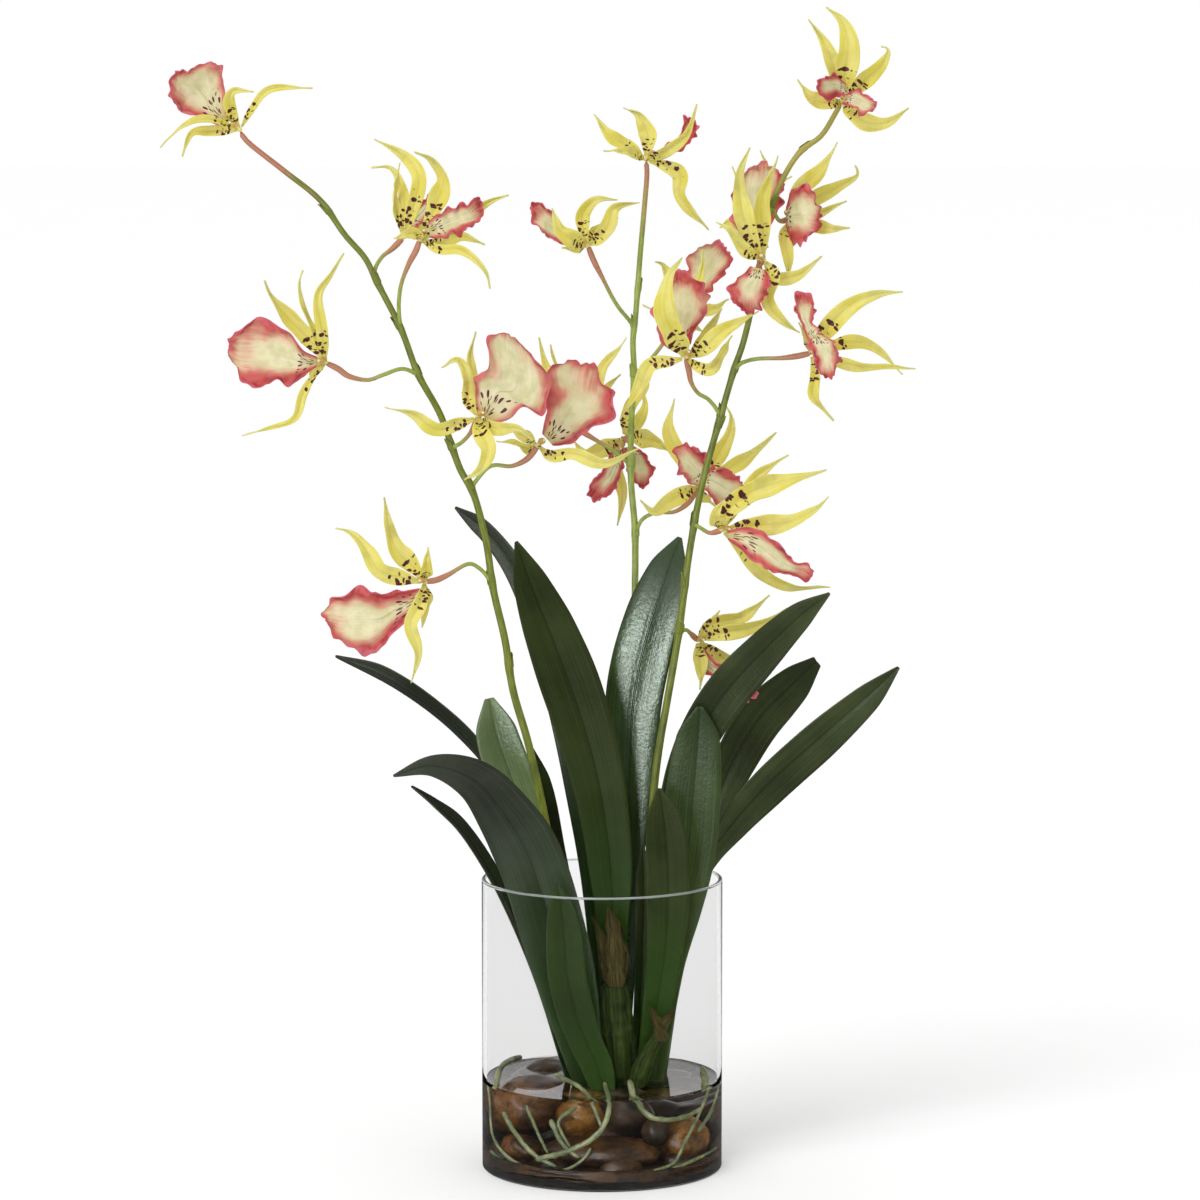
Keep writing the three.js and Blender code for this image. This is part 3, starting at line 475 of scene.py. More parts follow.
def leafPaint(name, look):
    paint = Paint(name)
    across, along = paint.sheetPlace()
    middle = (across * 2 - 1).size()
    cloud = paint.noise(paint.place(), 14, 4)
    veins = paint.noise(paint.spot(across * 30, along * 1.1), 1, 3, 0.6)
    fineVeins = paint.noise(paint.spot(across * 110, along * 2.5), 1, 1)
    pores = paint.noise(paint.place(), 520, 2)
    ripples = paint.noise(paint.spot(across * 5, along * 42), 1, 3)
    skin = paint.mix((cloud * 0.7 + veins * 0.3).rise(0.38, 0.64), look["dark"], look["light"])
    foot = 1 - (along + (cloud - 0.5) * 0.2).rise(0.04, look["footEnd"])
    skin = paint.mix(foot * 0.85, skin, look["foot"])
    skin = paint.mix(veins.rise(0.5, 0.7) * 0.16, skin, look["vein"])
    skin = paint.mix((1 - middle.rise(0.0, 0.05)) * 0.6, skin, look["rib"])
    # painted highlight: the paler edge colour along the margins stands for gloss catching the leaf edges
    skin = paint.mix(middle.rise(0.95, 1) * 0.5, skin, look["edge"])
    height = veins * 0.2 + fineVeins * 0.06 + pores * 0.5 + ripples * 0.5 + middle.rise(0, 0.05) * 0.5
    dullness = cloud * 0.2 + pores * 0.2 + along.rise(0.66, 0.92) * look.get("dullTip", 0)
    return paint.finish(
        {
            "Base Color": skin,
            "Roughness": dullness + look["rough"] - 0.08,
            "Specular IOR Level": look["gloss"],
            "Specular Tint": (0.86, 1, 0.88, 1),
            "Normal": paint.bump(height, 0.0006, 0.6),
        }
    )


def clearPaint(name, tint, bend, shade):
    # glass that lets lamps through, so what stands in it is lit
    paint = Paint(name)
    glass = paint.surface({"Base Color": tint, "Roughness": 0.0, "IOR": bend, "Transmission Weight": 1.0})
    through = paint.node("ShaderNodeBsdfTransparent", None, {0: shade})
    path = paint.node("ShaderNodeLightPath", output="Is Shadow Ray")
    return paint.done(paint.cover(path.most(path.other("Is Diffuse Ray")), glass, through))


def meetingPaint():
    # two clear bodies touch here
    paint = Paint("clearMeeting")
    return paint.done(paint.node("ShaderNodeBsdfTransparent", None, {0: (1, 1, 1, 1)}))


def rimHighlightPaint():
    # painted highlight: the rim is painted paler than the wall below it, for the light it catches and mirrors
    paint = Paint("paleRimHighlight")
    cloud = paint.noise(paint.place(), 90)
    skin = paint.mix(cloud, colour(206, 212, 212), colour(226, 230, 230))
    return paint.finish(
        {"Base Color": skin, "Roughness": cloud * 0.2 + 0.1, "IOR": 1.2, "Transmission Weight": 0.7}
    )


def stonePaint(name, main, other, dark):
    paint = Paint(name)
    place = paint.place()
    cloud = paint.noise(place, 48, 5, 0.62)
    bands = paint.noise(place, 110, 7, 0.7)
    grit = paint.noise(place, 420, 4, 0.7)
    skin = paint.mix(cloud.rise(0.38, 0.6), main, other)
    skin = paint.mix(bands.rise(0.48, 0.6) * 0.8, skin, dark)
    skin = paint.mix(grit.rise(0.5, 0.66) * 0.5, skin, dark)
    return paint.finish(
        {
            "Base Color": skin,
            "Roughness": bands * 0.3 + 0.2,
            "Specular IOR Level": 0.3,
            "Normal": paint.bump(bands + grit * 0.3, 0.001, 0.4),
        }
    )


def rootPaint():
    look = shades(pale=(138, 143, 102), green=(88, 101, 62), brown=(80, 68, 42))
    paint = Paint("paleRoot")
    cloud = paint.noise(paint.place(), 110, 4)
    fine = paint.noise(paint.place(), 700)
    skin = paint.mix(cloud.rise(0.35, 0.6), look["pale"], look["green"])
    skin = paint.mix(fine.rise(0.55, 0.7) * 0.5, skin, look["brown"])
    return paint.finish(
        {"Base Color": skin, "Roughness": cloud * 0.3 + 0.3, "Normal": paint.bump(cloud + fine * 0.5, 0.0008)}
    )


def bulbPaint(name, green, deep, straw, strawShare):
    paint = Paint(name)
    around, along = paint.sheetPlace()
    cloud = paint.noise(paint.place(), 60, 5, 0.6)
    fibres = paint.noise(paint.spot(around * 30, along * 3), 1, 4, 0.6)
    skin = paint.mix(fibres.rise(0.36, 0.64), deep, green)
    skin = paint.mix((cloud * 0.6 + fibres * 0.5).rise(0.62 - strawShare, 0.86 - strawShare), skin, straw)
    skin = paint.mix(cloud.rise(0.62, 0.72) * 0.5, skin, colour(52, 44, 30))
    return paint.finish(
        {
            "Base Color": skin,
            "Roughness": fibres * 0.3 + 0.5,
            "Specular IOR Level": 0.12,
            "Normal": paint.bump(fibres + cloud * 0.5, 0.001),
        }
    )


def floorPaint():
    paint = Paint("paleFloor")
    cloud = paint.noise(paint.place(), 3)
    skin = paint.mix(cloud, colour(252, 252, 252), colour(254, 254, 254))
    return paint.finish({"Base Color": skin, "Roughness": 0.7, "Specular IOR Level": 0.2})


# Glass vase
vase = {
    "radius": 76.2, "height": 185, "wall": 2.8, "floor": 3, "footRound": 1, "rimRound": 1.2, "sides": 160,
    "wallTint": (0.87, 0.87, 0.87, 1), "wallBend": 1.03, "footTint": (0.97, 0.96, 0.94, 1), "footBend": 1.47,
    "shade": (0.96, 0.96, 0.96, 1),
}
water = {
    "level": 56, "gap": 0.05, "meniscus": 1.1, "climb": 0.8, "ring": 0.9, "sinks": [0.46, 0.28, 0.17, 0.09],
    "tint": (0.93, 0.9, 0.86, 1), "bend": 1.47, "shade": (0.97, 0.95, 0.92, 1),
}


def pick(piece, kind, choose):
    # selects the faces or edges that choose returns, and stays in edit mode
    bpy.ops.object.mode_set(mode="EDIT")
    bpy.ops.mesh.select_mode(type=kind)
    bpy.ops.mesh.select_all(action="DESELECT")
    bpy.ops.object.mode_set(mode="OBJECT")
    for part in choose(piece.data):
        part.select = True
    bpy.ops.object.mode_set(mode="EDIT")


def topFace(mesh):
    return [max(mesh.polygons, key=lambda face: (face.center.z, len(face.vertices)))]


def ringEdges(mesh, radius, height):
    # the edges of one ring, at a radius and a height in millimetres
    found = []
    for edge in mesh.edges:
        spots = [mesh.vertices[index].co / mm for index in edge.vertices]
        if all(abs(math.hypot(s.x, s.y) - radius) < 0.05 and abs(s.z - height) < 0.05 for s in spots):
            found.append(edge)
    return found


def extrude(rise):
    bpy.ops.mesh.extrude_region_move(TRANSFORM_OT_translate={"value": (0, 0, rise * mm)})


def cylinder(name, radius, low, high):
    piece = added(
        bpy.ops.mesh.primitive_cylinder_add,
        name,
        vertices=vase["sides"],
        radius=radius * mm,
        depth=(high - low) * mm,
        location=(0, 0, (low + high) / 2 * mm),
    )
    bpy.ops.object.transform_apply(location=True, rotation=False, scale=False)
    return piece


inner = vase["radius"] - vase["wall"]
glass = cylinder("vase_glass", vase["radius"], 0, water["level"])
pick(glass, "FACE", topFace)
extrude(vase["height"] - water["level"])
bpy.ops.mesh.inset(thickness=vase["wall"] * mm)
extrude(water["level"] - vase["height"])
extrude(vase["floor"] - water["level"])
bpy.ops.object.mode_set(mode="OBJECT")
for radius, height, width, segments in (
    (vase["radius"], 0, vase["footRound"], 6),
    (vase["radius"], vase["height"], vase["rimRound"], 4),
    (inner, vase["height"], vase["rimRound"], 4),
):
    pick(glass, "EDGE", lambda mesh, radius=radius, height=height: ringEdges(mesh, radius, height))
    bpy.ops.mesh.bevel(offset=width * mm, segments=segments, affect="EDGES")
    bpy.ops.object.mode_set(mode="OBJECT")
# Glass and fill look like one clear body below the fill's surface, so the faces where they meet show nothing.
# The thin wall above hardly bends what is behind it, and the underside stands for the mirrored stones.
wallPaint = clearPaint("clearWall", vase["wallTint"], vase["wallBend"], vase["shade"])
footPaint = clearPaint("clearFoot", vase["footTint"], vase["footBend"], vase["shade"])
jointPaint = meetingPaint()
underPaint = stonePaint("mirroredBed", colour(34, 24, 15), colour(74, 46, 22), colour(14, 10, 8))
for face in glass.data.polygons:
    spots = [glass.data.vertices[index].co / mm for index in face.vertices]
    low = all(spot.z < water["level"] + 0.1 for spot in spots)
    within = all(math.hypot(spot.x, spot.y) < inner + 0.1 for spot in spots) and min(s.z for s in spots) > 1
    rim = min(spot.z for spot in spots) > vase["height"] - vase["rimRound"] - 0.1
    under = max(spot.z for spot in spots) < 0.1
    # the rim faces get the paint that holds the rim's painted highlight
    face.material_index = 4 if under else 3 if rim else 0 if not low else 2 if within else 1
dress(glass, "glass", ["glass_vase"], wallPaint, footPaint, jointPaint, rimHighlightPaint(), underPaint, angle=35)

fill = cylinder("water_clear", inner - water["gap"], vase["floor"] + water["gap"], water["level"])
pick(fill, "FACE", topFace)
for sink in water["sinks"]:
    bpy.ops.mesh.inset(thickness=water["ring"] * mm)
    bpy.ops.transform.translate(value=(0, 0, -water["meniscus"] * sink * mm))
bpy.ops.object.mode_set(mode="OBJECT")
for vertex in fill.data.vertices:
    if vertex.co.z > water["level"] * mm / 2:
        vertex.co.z += water["meniscus"] * water["climb"] * mm
for face in fill.data.polygons:
    face.material_index = 0 if face.normal.z > 0.3 else 1
waterPaint = clearPaint("clearFill", water["tint"], water["bend"], water["shade"])
dress(fill, "water", ["water_fill"], waterPaint, jointPaint, angle=30)
print("vase and water made")

# River stones: half sizes and centres in millimetres
stones = [
    {"name": "stone_left_low", "centre": [-44, -32, 19.5], "half": [14, 13, 9], "turn": 20, "paint": "brown"},
    {"name": "stone_front_pink", "centre": [0, -44, 20.5], "half": [34, 19, 10], "turn": -4, "paint": "pink"},
    {
        "name": "stone_right_ochre", "centre": [43, -26, 24.5], "half": [18, 19, 14], "turn": 25,
        "paint": "ochre",
    },
    {"name": "stone_right_small", "centre": [30, -46, 33], "half": [8, 9, 9.5], "turn": 0, "paint": "dark"},
    {
        "name": "stone_back_right", "centre": [34, 24, 25.5], "half": [24, 20, 15], "turn": -30,
        "paint": "dark",
    },
    {"name": "stone_back_left", "centre": [-36, 32, 44], "half": [19, 17, 17], "turn": 15, "paint": "dark"},
    {"name": "stone_back_low", "centre": [-18, 46, 19.5], "half": [17, 12, 9], "turn": 10, "paint": "brown"},
    {
        "name": "stone_left_large", "centre": [-42, -14, 43], "half": [25, 22, 15.5], "turn": -18,
        "paint": "brown",
    },
    {"name": "stone_centre", "centre": [-11, -36, 40], "half": [13, 12, 13], "turn": 8, "paint": "ochre"},
    {
        "name": "stone_centre_dark", "centre": [11, -30, 41], "half": [15, 13, 12], "turn": -10,
        "paint": "dark",
    },
]
stoneShape = {"detail": 5, "lumps": 0.16, "dents": 0.05, "grow": 1.03, "room": 0.8, "overFloor": 0.3}
stoneColours = {
    "brown": (colour(106, 66, 20), colour(66, 40, 12), colour(30, 19, 7)),
    "ochre": (colour(136, 94, 30), colour(90, 57, 16), colour(42, 26, 8)),
    "dark": (colour(46, 33, 17), colour(62, 43, 21), colour(16, 12, 7)),
    "pink": (colour(84, 54, 23), colour(56, 36, 14), colour(28, 19, 8)),
    # the bed colours are dark stone, darker partly as painted shade under the pile
    "bed": (colour(44, 31, 15), colour(70, 46, 19), colour(16, 12, 7)),
}
stonePaints = {name: stonePaint("wetStone_" + name, *tones) for name, tones in stoneColours.items()}

# Rings of small dark stones under and behind the larger ones: how many, the ring's radius and height, their
# half sizes, the ring's first angle and sweep, and the larger stone that they belong with
bed = [
    # the first row is one flat dark layer of small stones, which also stands for painted shade beneath the
    # pile
    (1, 0, 6.8, (72.4, 72.4, 3.6), 0, 360, "stone_front_pink"),
    (9, 59, 12, (12, 9, 7), 0, 360, "stone_front_pink"),
    (6, 38, 10, (13, 11, 5.5), 30, 360, "stone_left_low"),
    (3, 14, 10, (14, 12, 5.5), 60, 360, "stone_back_low"),
    (7, 54, 30, (15, 15, 12), 8, 190, "stone_back_right"),
    (4, 26, 27, (17, 15, 14), 40, 300, "stone_back_low"),
]
for number, reach, height, half, first, sweep, node in bed:
    for step in range(number):
        angle = math.radians(first + sweep * step / number)
        stones.append(
            {
                "name": "stone_bed_" + str(len(stones)),
                "node": node,
                "centre": [reach * math.cos(angle), reach * math.sin(angle), height + chance.uniform(0, 2)],
                "half": half,
                "turn": math.degrees(angle) + 90,
                "paint": "bed",
                "detail": 4 if reach else 5,
            }
        )

for index, stone in enumerate(stones):
    name, detail = stone["name"].replace("stone", "pebble"), stone.get("detail", stoneShape["detail"])
    piece = added(bpy.ops.mesh.primitive_ico_sphere_add, name, subdivisions=detail, radius=1)
    turn = Matrix.Rotation(math.radians(stone["turn"]), 3, "Z")
    centre, half = Vector(stone["centre"]), Vector(stone["half"]) * stoneShape["grow"]
    for vertex in piece.data.vertices:
        out = vertex.co.copy()
        swell = 1 + stoneShape["lumps"] * noise.noise(out * 0.9 + Vector((index * 3.7, 0, 0)))
        swell += stoneShape["dents"] * noise.noise(out * 2.6 + Vector((0, index * 5.1, 0)))
        if half.x > 60:
            # the lowest layer reaches the glass all round
            flat = max(-1, min(1, out.z * 1.8)) * (1 + 0.4 * noise.noise(out * 6))
            out = Vector((*(out.xy / max(0.78, out.xy.length)), flat))
        shaped = Vector([out[axis] * half[axis] for axis in range(3)]) * swell
        spot = turn @ shaped + centre
        inwards = min(1, (inner - stoneShape["room"]) / max(1, math.hypot(spot.x, spot.y)))
        height = max(spot.z, vase["floor"] + stoneShape["overFloor"])
        vertex.co = Vector((spot.x * inwards, spot.y * inwards, height)) * mm
    dress(piece, "stone", [stone.get("node", stone["name"])], stonePaints[stone["paint"]], angle=80)
print("stones made")

# Roots, as lines of points in the picture. They lie close to the glass and over the stones.
roots = [
    {
        "name": "root_left_arc",
        "points": [
            [522, 1057, 30], [509, 1061, 16], [499, 1072, -8], [493, 1100, -22], [497, 1134, -26],
            [516, 1158, -40], [548, 1170, -53],
        ],
    },
    {
        "name": "root_front_arc",
        "points": [
            [534, 1160, -60], [567, 1151, -66.5], [592, 1138, -68], [604, 1124, -67], [609, 1104, -62],
            [604, 1082, -40],
        ],
    },
    {"name": "root_left_fork", "points": [[552, 1118, -62], [564, 1143, -65], [580, 1157, -67.5]]},
    {
        "name": "root_right_rise",
        "points": [[702, 1066, 5], [707, 1084, -8], [702, 1108, -20], [692, 1128, -33], [684, 1144, -42]],
    },
    {
        "name": "root_right_thick",
        "points": [
            [629, 1079, -42], [635, 1100, -52], [647, 1115, -60], [664, 1119, -58], [684, 1116, -50],
            [700, 1108, -38],
        ],
    },
    {
        "name": "root_left_deep", "node": "root_left_arc",
        "points": [[499, 1112, -40], [517, 1135, -50], [535, 1154, -58], [558, 1166, -64]],
    },
    {
        "name": "root_left_finger", "node": "root_left_fork",
        "points": [[529, 1104, -52], [538, 1128, -58], [549, 1153, -63]], "radius": 1.5,
    },
    {
        "name": "root_left_second", "node": "root_left_fork",
        "points": [[579, 1105, -58], [560, 1121, -64], [571, 1147, -67]], "radius": 1.4,
    },
    {
        "name": "root_over_stone", "node": "root_front_arc",
        "points": [[554, 1074, -30], [578, 1086, -46], [591, 1099, -58], [602, 1127, -66]], "radius": 1.6,
    },
    {
        "name": "root_bottom_arc", "node": "root_left_arc",
        "points": [[488, 1150, -22], [524, 1168, -46], [568, 1168, -64], [584, 1158, -67], [592, 1146, -68]],
        "radius": 1.5,
    },
    {
        "name": "root_right_wall", "node": "root_right_rise",
        "points": [
            [701, 1070, -16], [704, 1086, -28], [696, 1110, -38], [684, 1140, -50], [672, 1162, -56],
            [648, 1171, -64],
        ],
        "radius": 1.6,
    },
    {
        "name": "root_right_bottom", "node": "root_right_rise",
        "points": [[668, 1169, -58], [694, 1160, -46], [722, 1147, -18]], "radius": 1.4,
    },
]
rootShape = {
    "radius": 2.1, "room": 2.7, "overFloor": 2.4, "taper": 0.35, "tip": 0.004,
    "tube": {"sides": 10, "steps": 54, "wander": 0.32},
}


def insideVase(point):
    reach = (inner - rootShape["room"]) * mm
    inwards = min(1, reach / math.hypot(point.x, point.y))
    height = max(point.z, (vase["floor"] + rootShape["overFloor"]) * mm)
    return Vector((point.x * inwards, point.y * inwards, height))


paleRoot = rootPaint()
for root in roots:
    line = SmoothLine([insideVase(fromPicture(*point)) for point in root["points"]])
    thick = root.get("radius", rootShape["radius"]) * mm

    def rootRadius(along, line=line, thick=thick):
        return thick * rounded(along, line.length, rootShape["tip"]) * (1 - rootShape["taper"] * along)

    piece = tube(root["name"].replace("root", "strand"), line, rootRadius, **rootShape["tube"])
    dress(refine(piece), "root", [root.get("node", root["name"])], paleRoot, angle=80)
print("roots made")

# Pseudobulbs with papery bracts over them
bulbs = [
    {
        "name": "pseudobulb_centre",
        "points": [[622, 1098, -14], [620, 1060, -14], [617, 1015, -14], [614, 980, -14]],
        "halfWidth": [5, 10, 10.4, 8],
    },
    {
        "name": "pseudobulb_right",
        "points": [[634, 1094, -27], [641, 1072, -27], [651, 1048, -27], [659, 1034, -27]],
        "halfWidth": [2.5, 6.4, 5.2, 2.6],
    },
]
sheaths = [
    {
        "name": "sheath_centre",
        "bracts": [
            {
                "points": [[616, 988, -23.5], [615, 950, -24], [613, 928, -22], [608, 907, -19]],
                "halfWidth": [4.4, 6.2, 5.6, 4.6, 0.5],
            },
            {
                "points": [[609, 982, -19], [604, 955, -20], [600, 935, -19], [592, 916, -16]],
                "halfWidth": [3, 3.8, 3.2, 2.2, 0.4],
            },
            {
                "points": [[621, 980, -19], [624, 955, -19.5], [621, 937, -18], [623, 926, -16]],
                "halfWidth": [3.2, 3.8, 2.8, 1.6, 0.4],
            },
        ],
    },
    {
        "name": "sheath_right",
        "bracts": [
            {
                "points": [[663, 1042, -31], [660, 1028, -32.5], [655, 1018, -32.5], [648, 1004, -32]],
                "halfWidth": [3.4, 4.2, 3.4, 2, 0.3],
            },
            {
                "points": [[660, 1042, -30.5], [662, 1028, -32], [668, 1019, -32], [675, 1009, -31]],
                "halfWidth": [3.4, 4, 3, 1.8, 0.3],
            },
        ],
    },
]
bulbShape = {"end": 0.004, "tube": {"sides": 40, "steps": 40, "ribs": 9, "ribDepth": 0.045, "wander": 0.16}}
sheathShape = {"least": 0.3, "tears": [0.45, 0.3], "crease": 0.0018, "thickness": 0.0005, "grid": [12, 24]}
bulbSkin = bulbPaint("oliveBulb", colour(58, 76, 22), colour(26, 36, 8), colour(70, 68, 30), 0)
paperSkin = bulbPaint("paperySheath", colour(94, 84, 42), colour(44, 42, 18), colour(138, 126, 80), 0.04)

for bulb in bulbs:
    line = SmoothLine([fromPicture(*point) for point in bulb["points"]])
    width = through(bulb["halfWidth"])

    def bulbRadius(along, line=line, width=width):
        return width(along) * mm * rounded(along, line.length, bulbShape["end"])

    piece = tube(bulb["name"] + "_ribbed", line, bulbRadius, **bulbShape["tube"])
    dress(refine(piece), "bulb", [bulb["name"]], bulbSkin, angle=80)

for sheath in sheaths:
    wraps = []
    for number, wrap in enumerate(sheath["bracts"]):
        line = SmoothLine([fromPicture(*point) for point in wrap["points"]])
        width = through(wrap["halfWidth"])

        def ragged(along, width=width, number=number):
            large, small = sheathShape["tears"]
            torn = large * uneven(along * 7, number * 5, 0) + small * uneven(along * 21, number, 3)
            return max(sheathShape["least"], width(along) * (1 + torn)) * mm

        def wrapLift(across, along, half, number=number):
            crease = sheathShape["crease"] * uneven(across * 3.2, along * 5, number * 7)
            return -0.6 * half * across**2 + crease * smooth(along, 0.1, 0.4)

        wraps.append(blade("bract", line, ragged, lambda along: 0, wrapLift, *sheathShape["grid"]))
    piece = thicken(together(wraps, sheath["name"] + "_papery"), sheathShape["thickness"])
    dress(piece, "bulb", [sheath["name"]], paperSkin, angle=80)
print("pseudobulbs and sheaths made")

# Leaves: points in the picture from the tip down, half widths in millimetres at even stations, the turn in
# degrees at the tip and at the crown, and the foot on the crown
leaves = [
    {
        "name": "leaf_left_far", "tone": "slate",
        "points": [
            [335, 656, 84], [385, 676, 77], [440, 714, 64], [480, 754, 53], [520, 815, 42], [556, 900, 34],
        ],
        "halfWidth": [0.8, 6.5, 8, 8.5, 8, 7, 5, 3.5], "turn": [150, 100], "foot": [-12, 25],
    },
    {
        "name": "leaf_left_front", "tone": "slate",
        "points": [
            [393, 776, -80], [432, 766, -74], [474, 780, -62], [508, 820, -44], [531, 862, -30],
            [553, 932, -22], [572, 1005, -17],
        ],
        "halfWidth": [0.8, 6, 12, 17, 20.5, 21, 20.5, 16.5, 8], "turn": [14, 0], "foot": [-8, -14],
    },
    {
        "name": "leaf_front_short", "tone": "deep",
        "points": [
            [557, 884, -42], [562, 912, -42], [565, 945, -41], [569, 985, -39], [583, 1035, -36],
            [597, 1066, -33],
        ],
        "halfWidth": [0.8, 8.5, 11.5, 12.2, 11.8, 10.5, 9.8, 7], "turn": [0, 0], "foot": [2, -31],
    },
    {
        "name": "leaf_left_thin", "tone": "slate",
        "points": [
            [411, 786, 30], [432, 802, 26], [457, 824, 20], [484, 862, 11], [507, 905, 3], [540, 985, -2],
        ],
        "halfWidth": [0.8, 5, 8, 9, 9, 8, 6, 3.5], "turn": [76, 60], "foot": [-20, -4],
    },
    {
        "name": "leaf_left_short", "tone": "pale",
        "points": [[489, 698, 16], [499, 742, 13], [516, 790, 10], [537, 850, 8], [562, 930, 7]],
        "halfWidth": [3, 13, 14.5, 14, 12, 9, 5, 3.5], "turn": [0, 10], "foot": [-12, 8],
    },
    {
        "name": "leaf_left_dark", "tone": "olive",
        "points": [[530, 748, 28], [543, 795, 24], [553, 850, 22], [570, 930, 20]],
        "halfWidth": [2, 7, 8, 8, 7, 5, 3.5], "turn": [30, 20], "foot": [-7, 16],
    },
    {
        "name": "leaf_back_left", "tone": "slate",
        "points": [[455, 507, 95], [487, 532, 88], [521, 580, 80], [560, 700, 63], [588, 850, 43]],
        "halfWidth": [0.8, 6, 6.8, 8, 9, 9, 6, 3.5], "turn": [-20, 0], "foot": [2, 30],
    },
    {
        "name": "leaf_centre_tall", "tone": "olive",
        "points": [
            [516, 541, -36], [529, 580, -29], [553, 640, -20], [577, 705, -13], [597, 775, -8],
            [609, 850, -4], [613, 930, -1],
        ],
        "halfWidth": [1, 10, 16.5, 19, 18, 16, 14, 9, 4], "turn": [14, -6], "foot": [5, 3],
    },
    {
        "name": "leaf_centre_right", "fold": 0.05, "tone": "bright",
        "points": [
            [680, 537, 27], [668, 570, 25], [650, 625, 22], [635, 690, 20], [630, 760, 18], [628, 850, 16],
        ],
        "halfWidth": [1.5, 12, 17.5, 19, 18, 15, 10, 4], "turn": [-22, 0], "foot": [12, 13],
    },
    {
        "name": "leaf_right_upper", "tone": "green",
        "points": [
            [830, 593, -62], [800, 616, -52], [760, 655, -38], [722, 698, -26], [694, 745, -16],
            [672, 812, -8], [660, 900, -3],
        ],
        "halfWidth": [0.8, 8, 12, 14, 13.5, 12, 9, 7, 3.5], "turn": [-16, 20], "foot": [32, 5],
    },
    {
        "name": "leaf_right_round", "tone": "green",
        "points": [
            [817, 661, 80], [793, 684, 73], [760, 718, 61], [730, 770, 46], [702, 842, 29], [679, 915, 21],
        ],
        "halfWidth": [4, 11.5, 15, 14.5, 12, 9, 6, 3.5], "turn": [14, -10], "foot": [28, 20],
    },
    {
        "name": "leaf_right_far", "tone": "green",
        "points": [
            [899, 667, -22], [868, 696, -15], [815, 742, -6], [766, 786, 3], [732, 824, 7], [706, 860, 10],
            [688, 905, 10],
        ],
        "halfWidth": [1, 9.5, 14.5, 15.5, 13, 9.5, 6, 3.5], "turn": [6, 60], "foot": [38, 12],
    },
    {
        "name": "leaf_right_short", "fold": 0.05, "tone": "fresh",
        "points": [
            [700, 706, -28], [698, 738, -26], [693, 795, -24], [688, 850, -20], [679, 905, -16],
            [668, 965, -13],
        ],
        "halfWidth": [2, 13, 17, 18, 17, 14, 10, 4], "turn": [0, -16], "foot": [34, -5],
    },
    {
        "name": "leaf_right_front", "tone": "olive",
        "points": [[659, 788, -44], [664, 820, -42], [668, 862, -39], [668, 905, -34], [664, 960, -27]],
        "halfWidth": [1, 11, 13.5, 13.5, 12.5, 10.5, 4], "turn": [0, 0], "foot": [25, -14],
    },
    {
        "name": "leaf_centre_narrow", "tone": "olive",
        "points": [[643, 846, 0], [644, 900, 0], [642, 970, 1]], "halfWidth": [1, 5, 5.5, 5, 4, 3],
        "turn": [0, 0], "foot": [21, 3],
    },
]
leafShape = {
    "crown": 50, "thickness": 1.2, "fold": 0.24, "rib": 0.7, "curl": 0.05, "wave": 0.0009, "grid": [12, 48],
}
# each tone's edge colour is a painted highlight along the leaf margins
leafTones = {
    "slate": {
        "dark": colour(33, 37, 26), "light": colour(57, 61, 50), "foot": colour(40, 66, 16),
        "vein": colour(80, 84, 70), "rib": colour(26, 30, 20), "edge": colour(80, 78, 50), "rough": 0.26,
        "gloss": 0.4, "footEnd": 0.7,
    },
    "green": {
        "dark": colour(45, 52, 28), "light": colour(70, 80, 44), "foot": colour(56, 84, 28),
        "vein": colour(84, 98, 56), "rib": colour(28, 38, 14), "edge": colour(86, 88, 44), "rough": 0.28,
        "gloss": 0.25, "footEnd": 0.46,
    },
    "bright": {
        "dark": colour(42, 60, 24), "light": colour(66, 90, 42), "foot": colour(34, 54, 12),
        "vein": colour(86, 110, 62), "rib": colour(32, 44, 18), "edge": colour(92, 98, 52), "rough": 0.2,
        "gloss": 0.66, "footEnd": 0.5, "dullTip": 0.45,
    },
    "fresh": {
        "dark": colour(44, 58, 26), "light": colour(68, 86, 44), "foot": colour(66, 84, 38),
        "vein": colour(88, 104, 66), "rib": colour(32, 44, 18), "edge": colour(92, 98, 52), "rough": 0.3,
        "gloss": 0.24, "footEnd": 0.5,
    },
    "pale": {
        "dark": colour(88, 106, 64), "light": colour(118, 138, 88), "foot": colour(60, 90, 34),
        "vein": colour(118, 136, 92), "rib": colour(58, 74, 38), "edge": colour(110, 116, 68), "rough": 0.24,
        "gloss": 0.5, "footEnd": 0.46,
    },
    "deep": {
        "dark": colour(36, 50, 17), "light": colour(48, 66, 24), "foot": colour(48, 74, 25),
        "vein": colour(60, 80, 36), "rib": colour(26, 36, 10), "edge": colour(64, 84, 34), "rough": 0.34,
        "gloss": 0.14, "footEnd": 0.55,
    },
    "olive": {
        "dark": colour(33, 40, 15), "light": colour(52, 62, 24), "foot": colour(40, 70, 12),
        "vein": colour(60, 68, 34), "rib": colour(22, 26, 9), "edge": colour(72, 72, 34), "rough": 0.34,
        "gloss": 0.14, "footEnd": 0.55,
    },
}
leafPaints = {tone: leafPaint("waxyLeaf_" + tone, look) for tone, look in leafTones.items()}

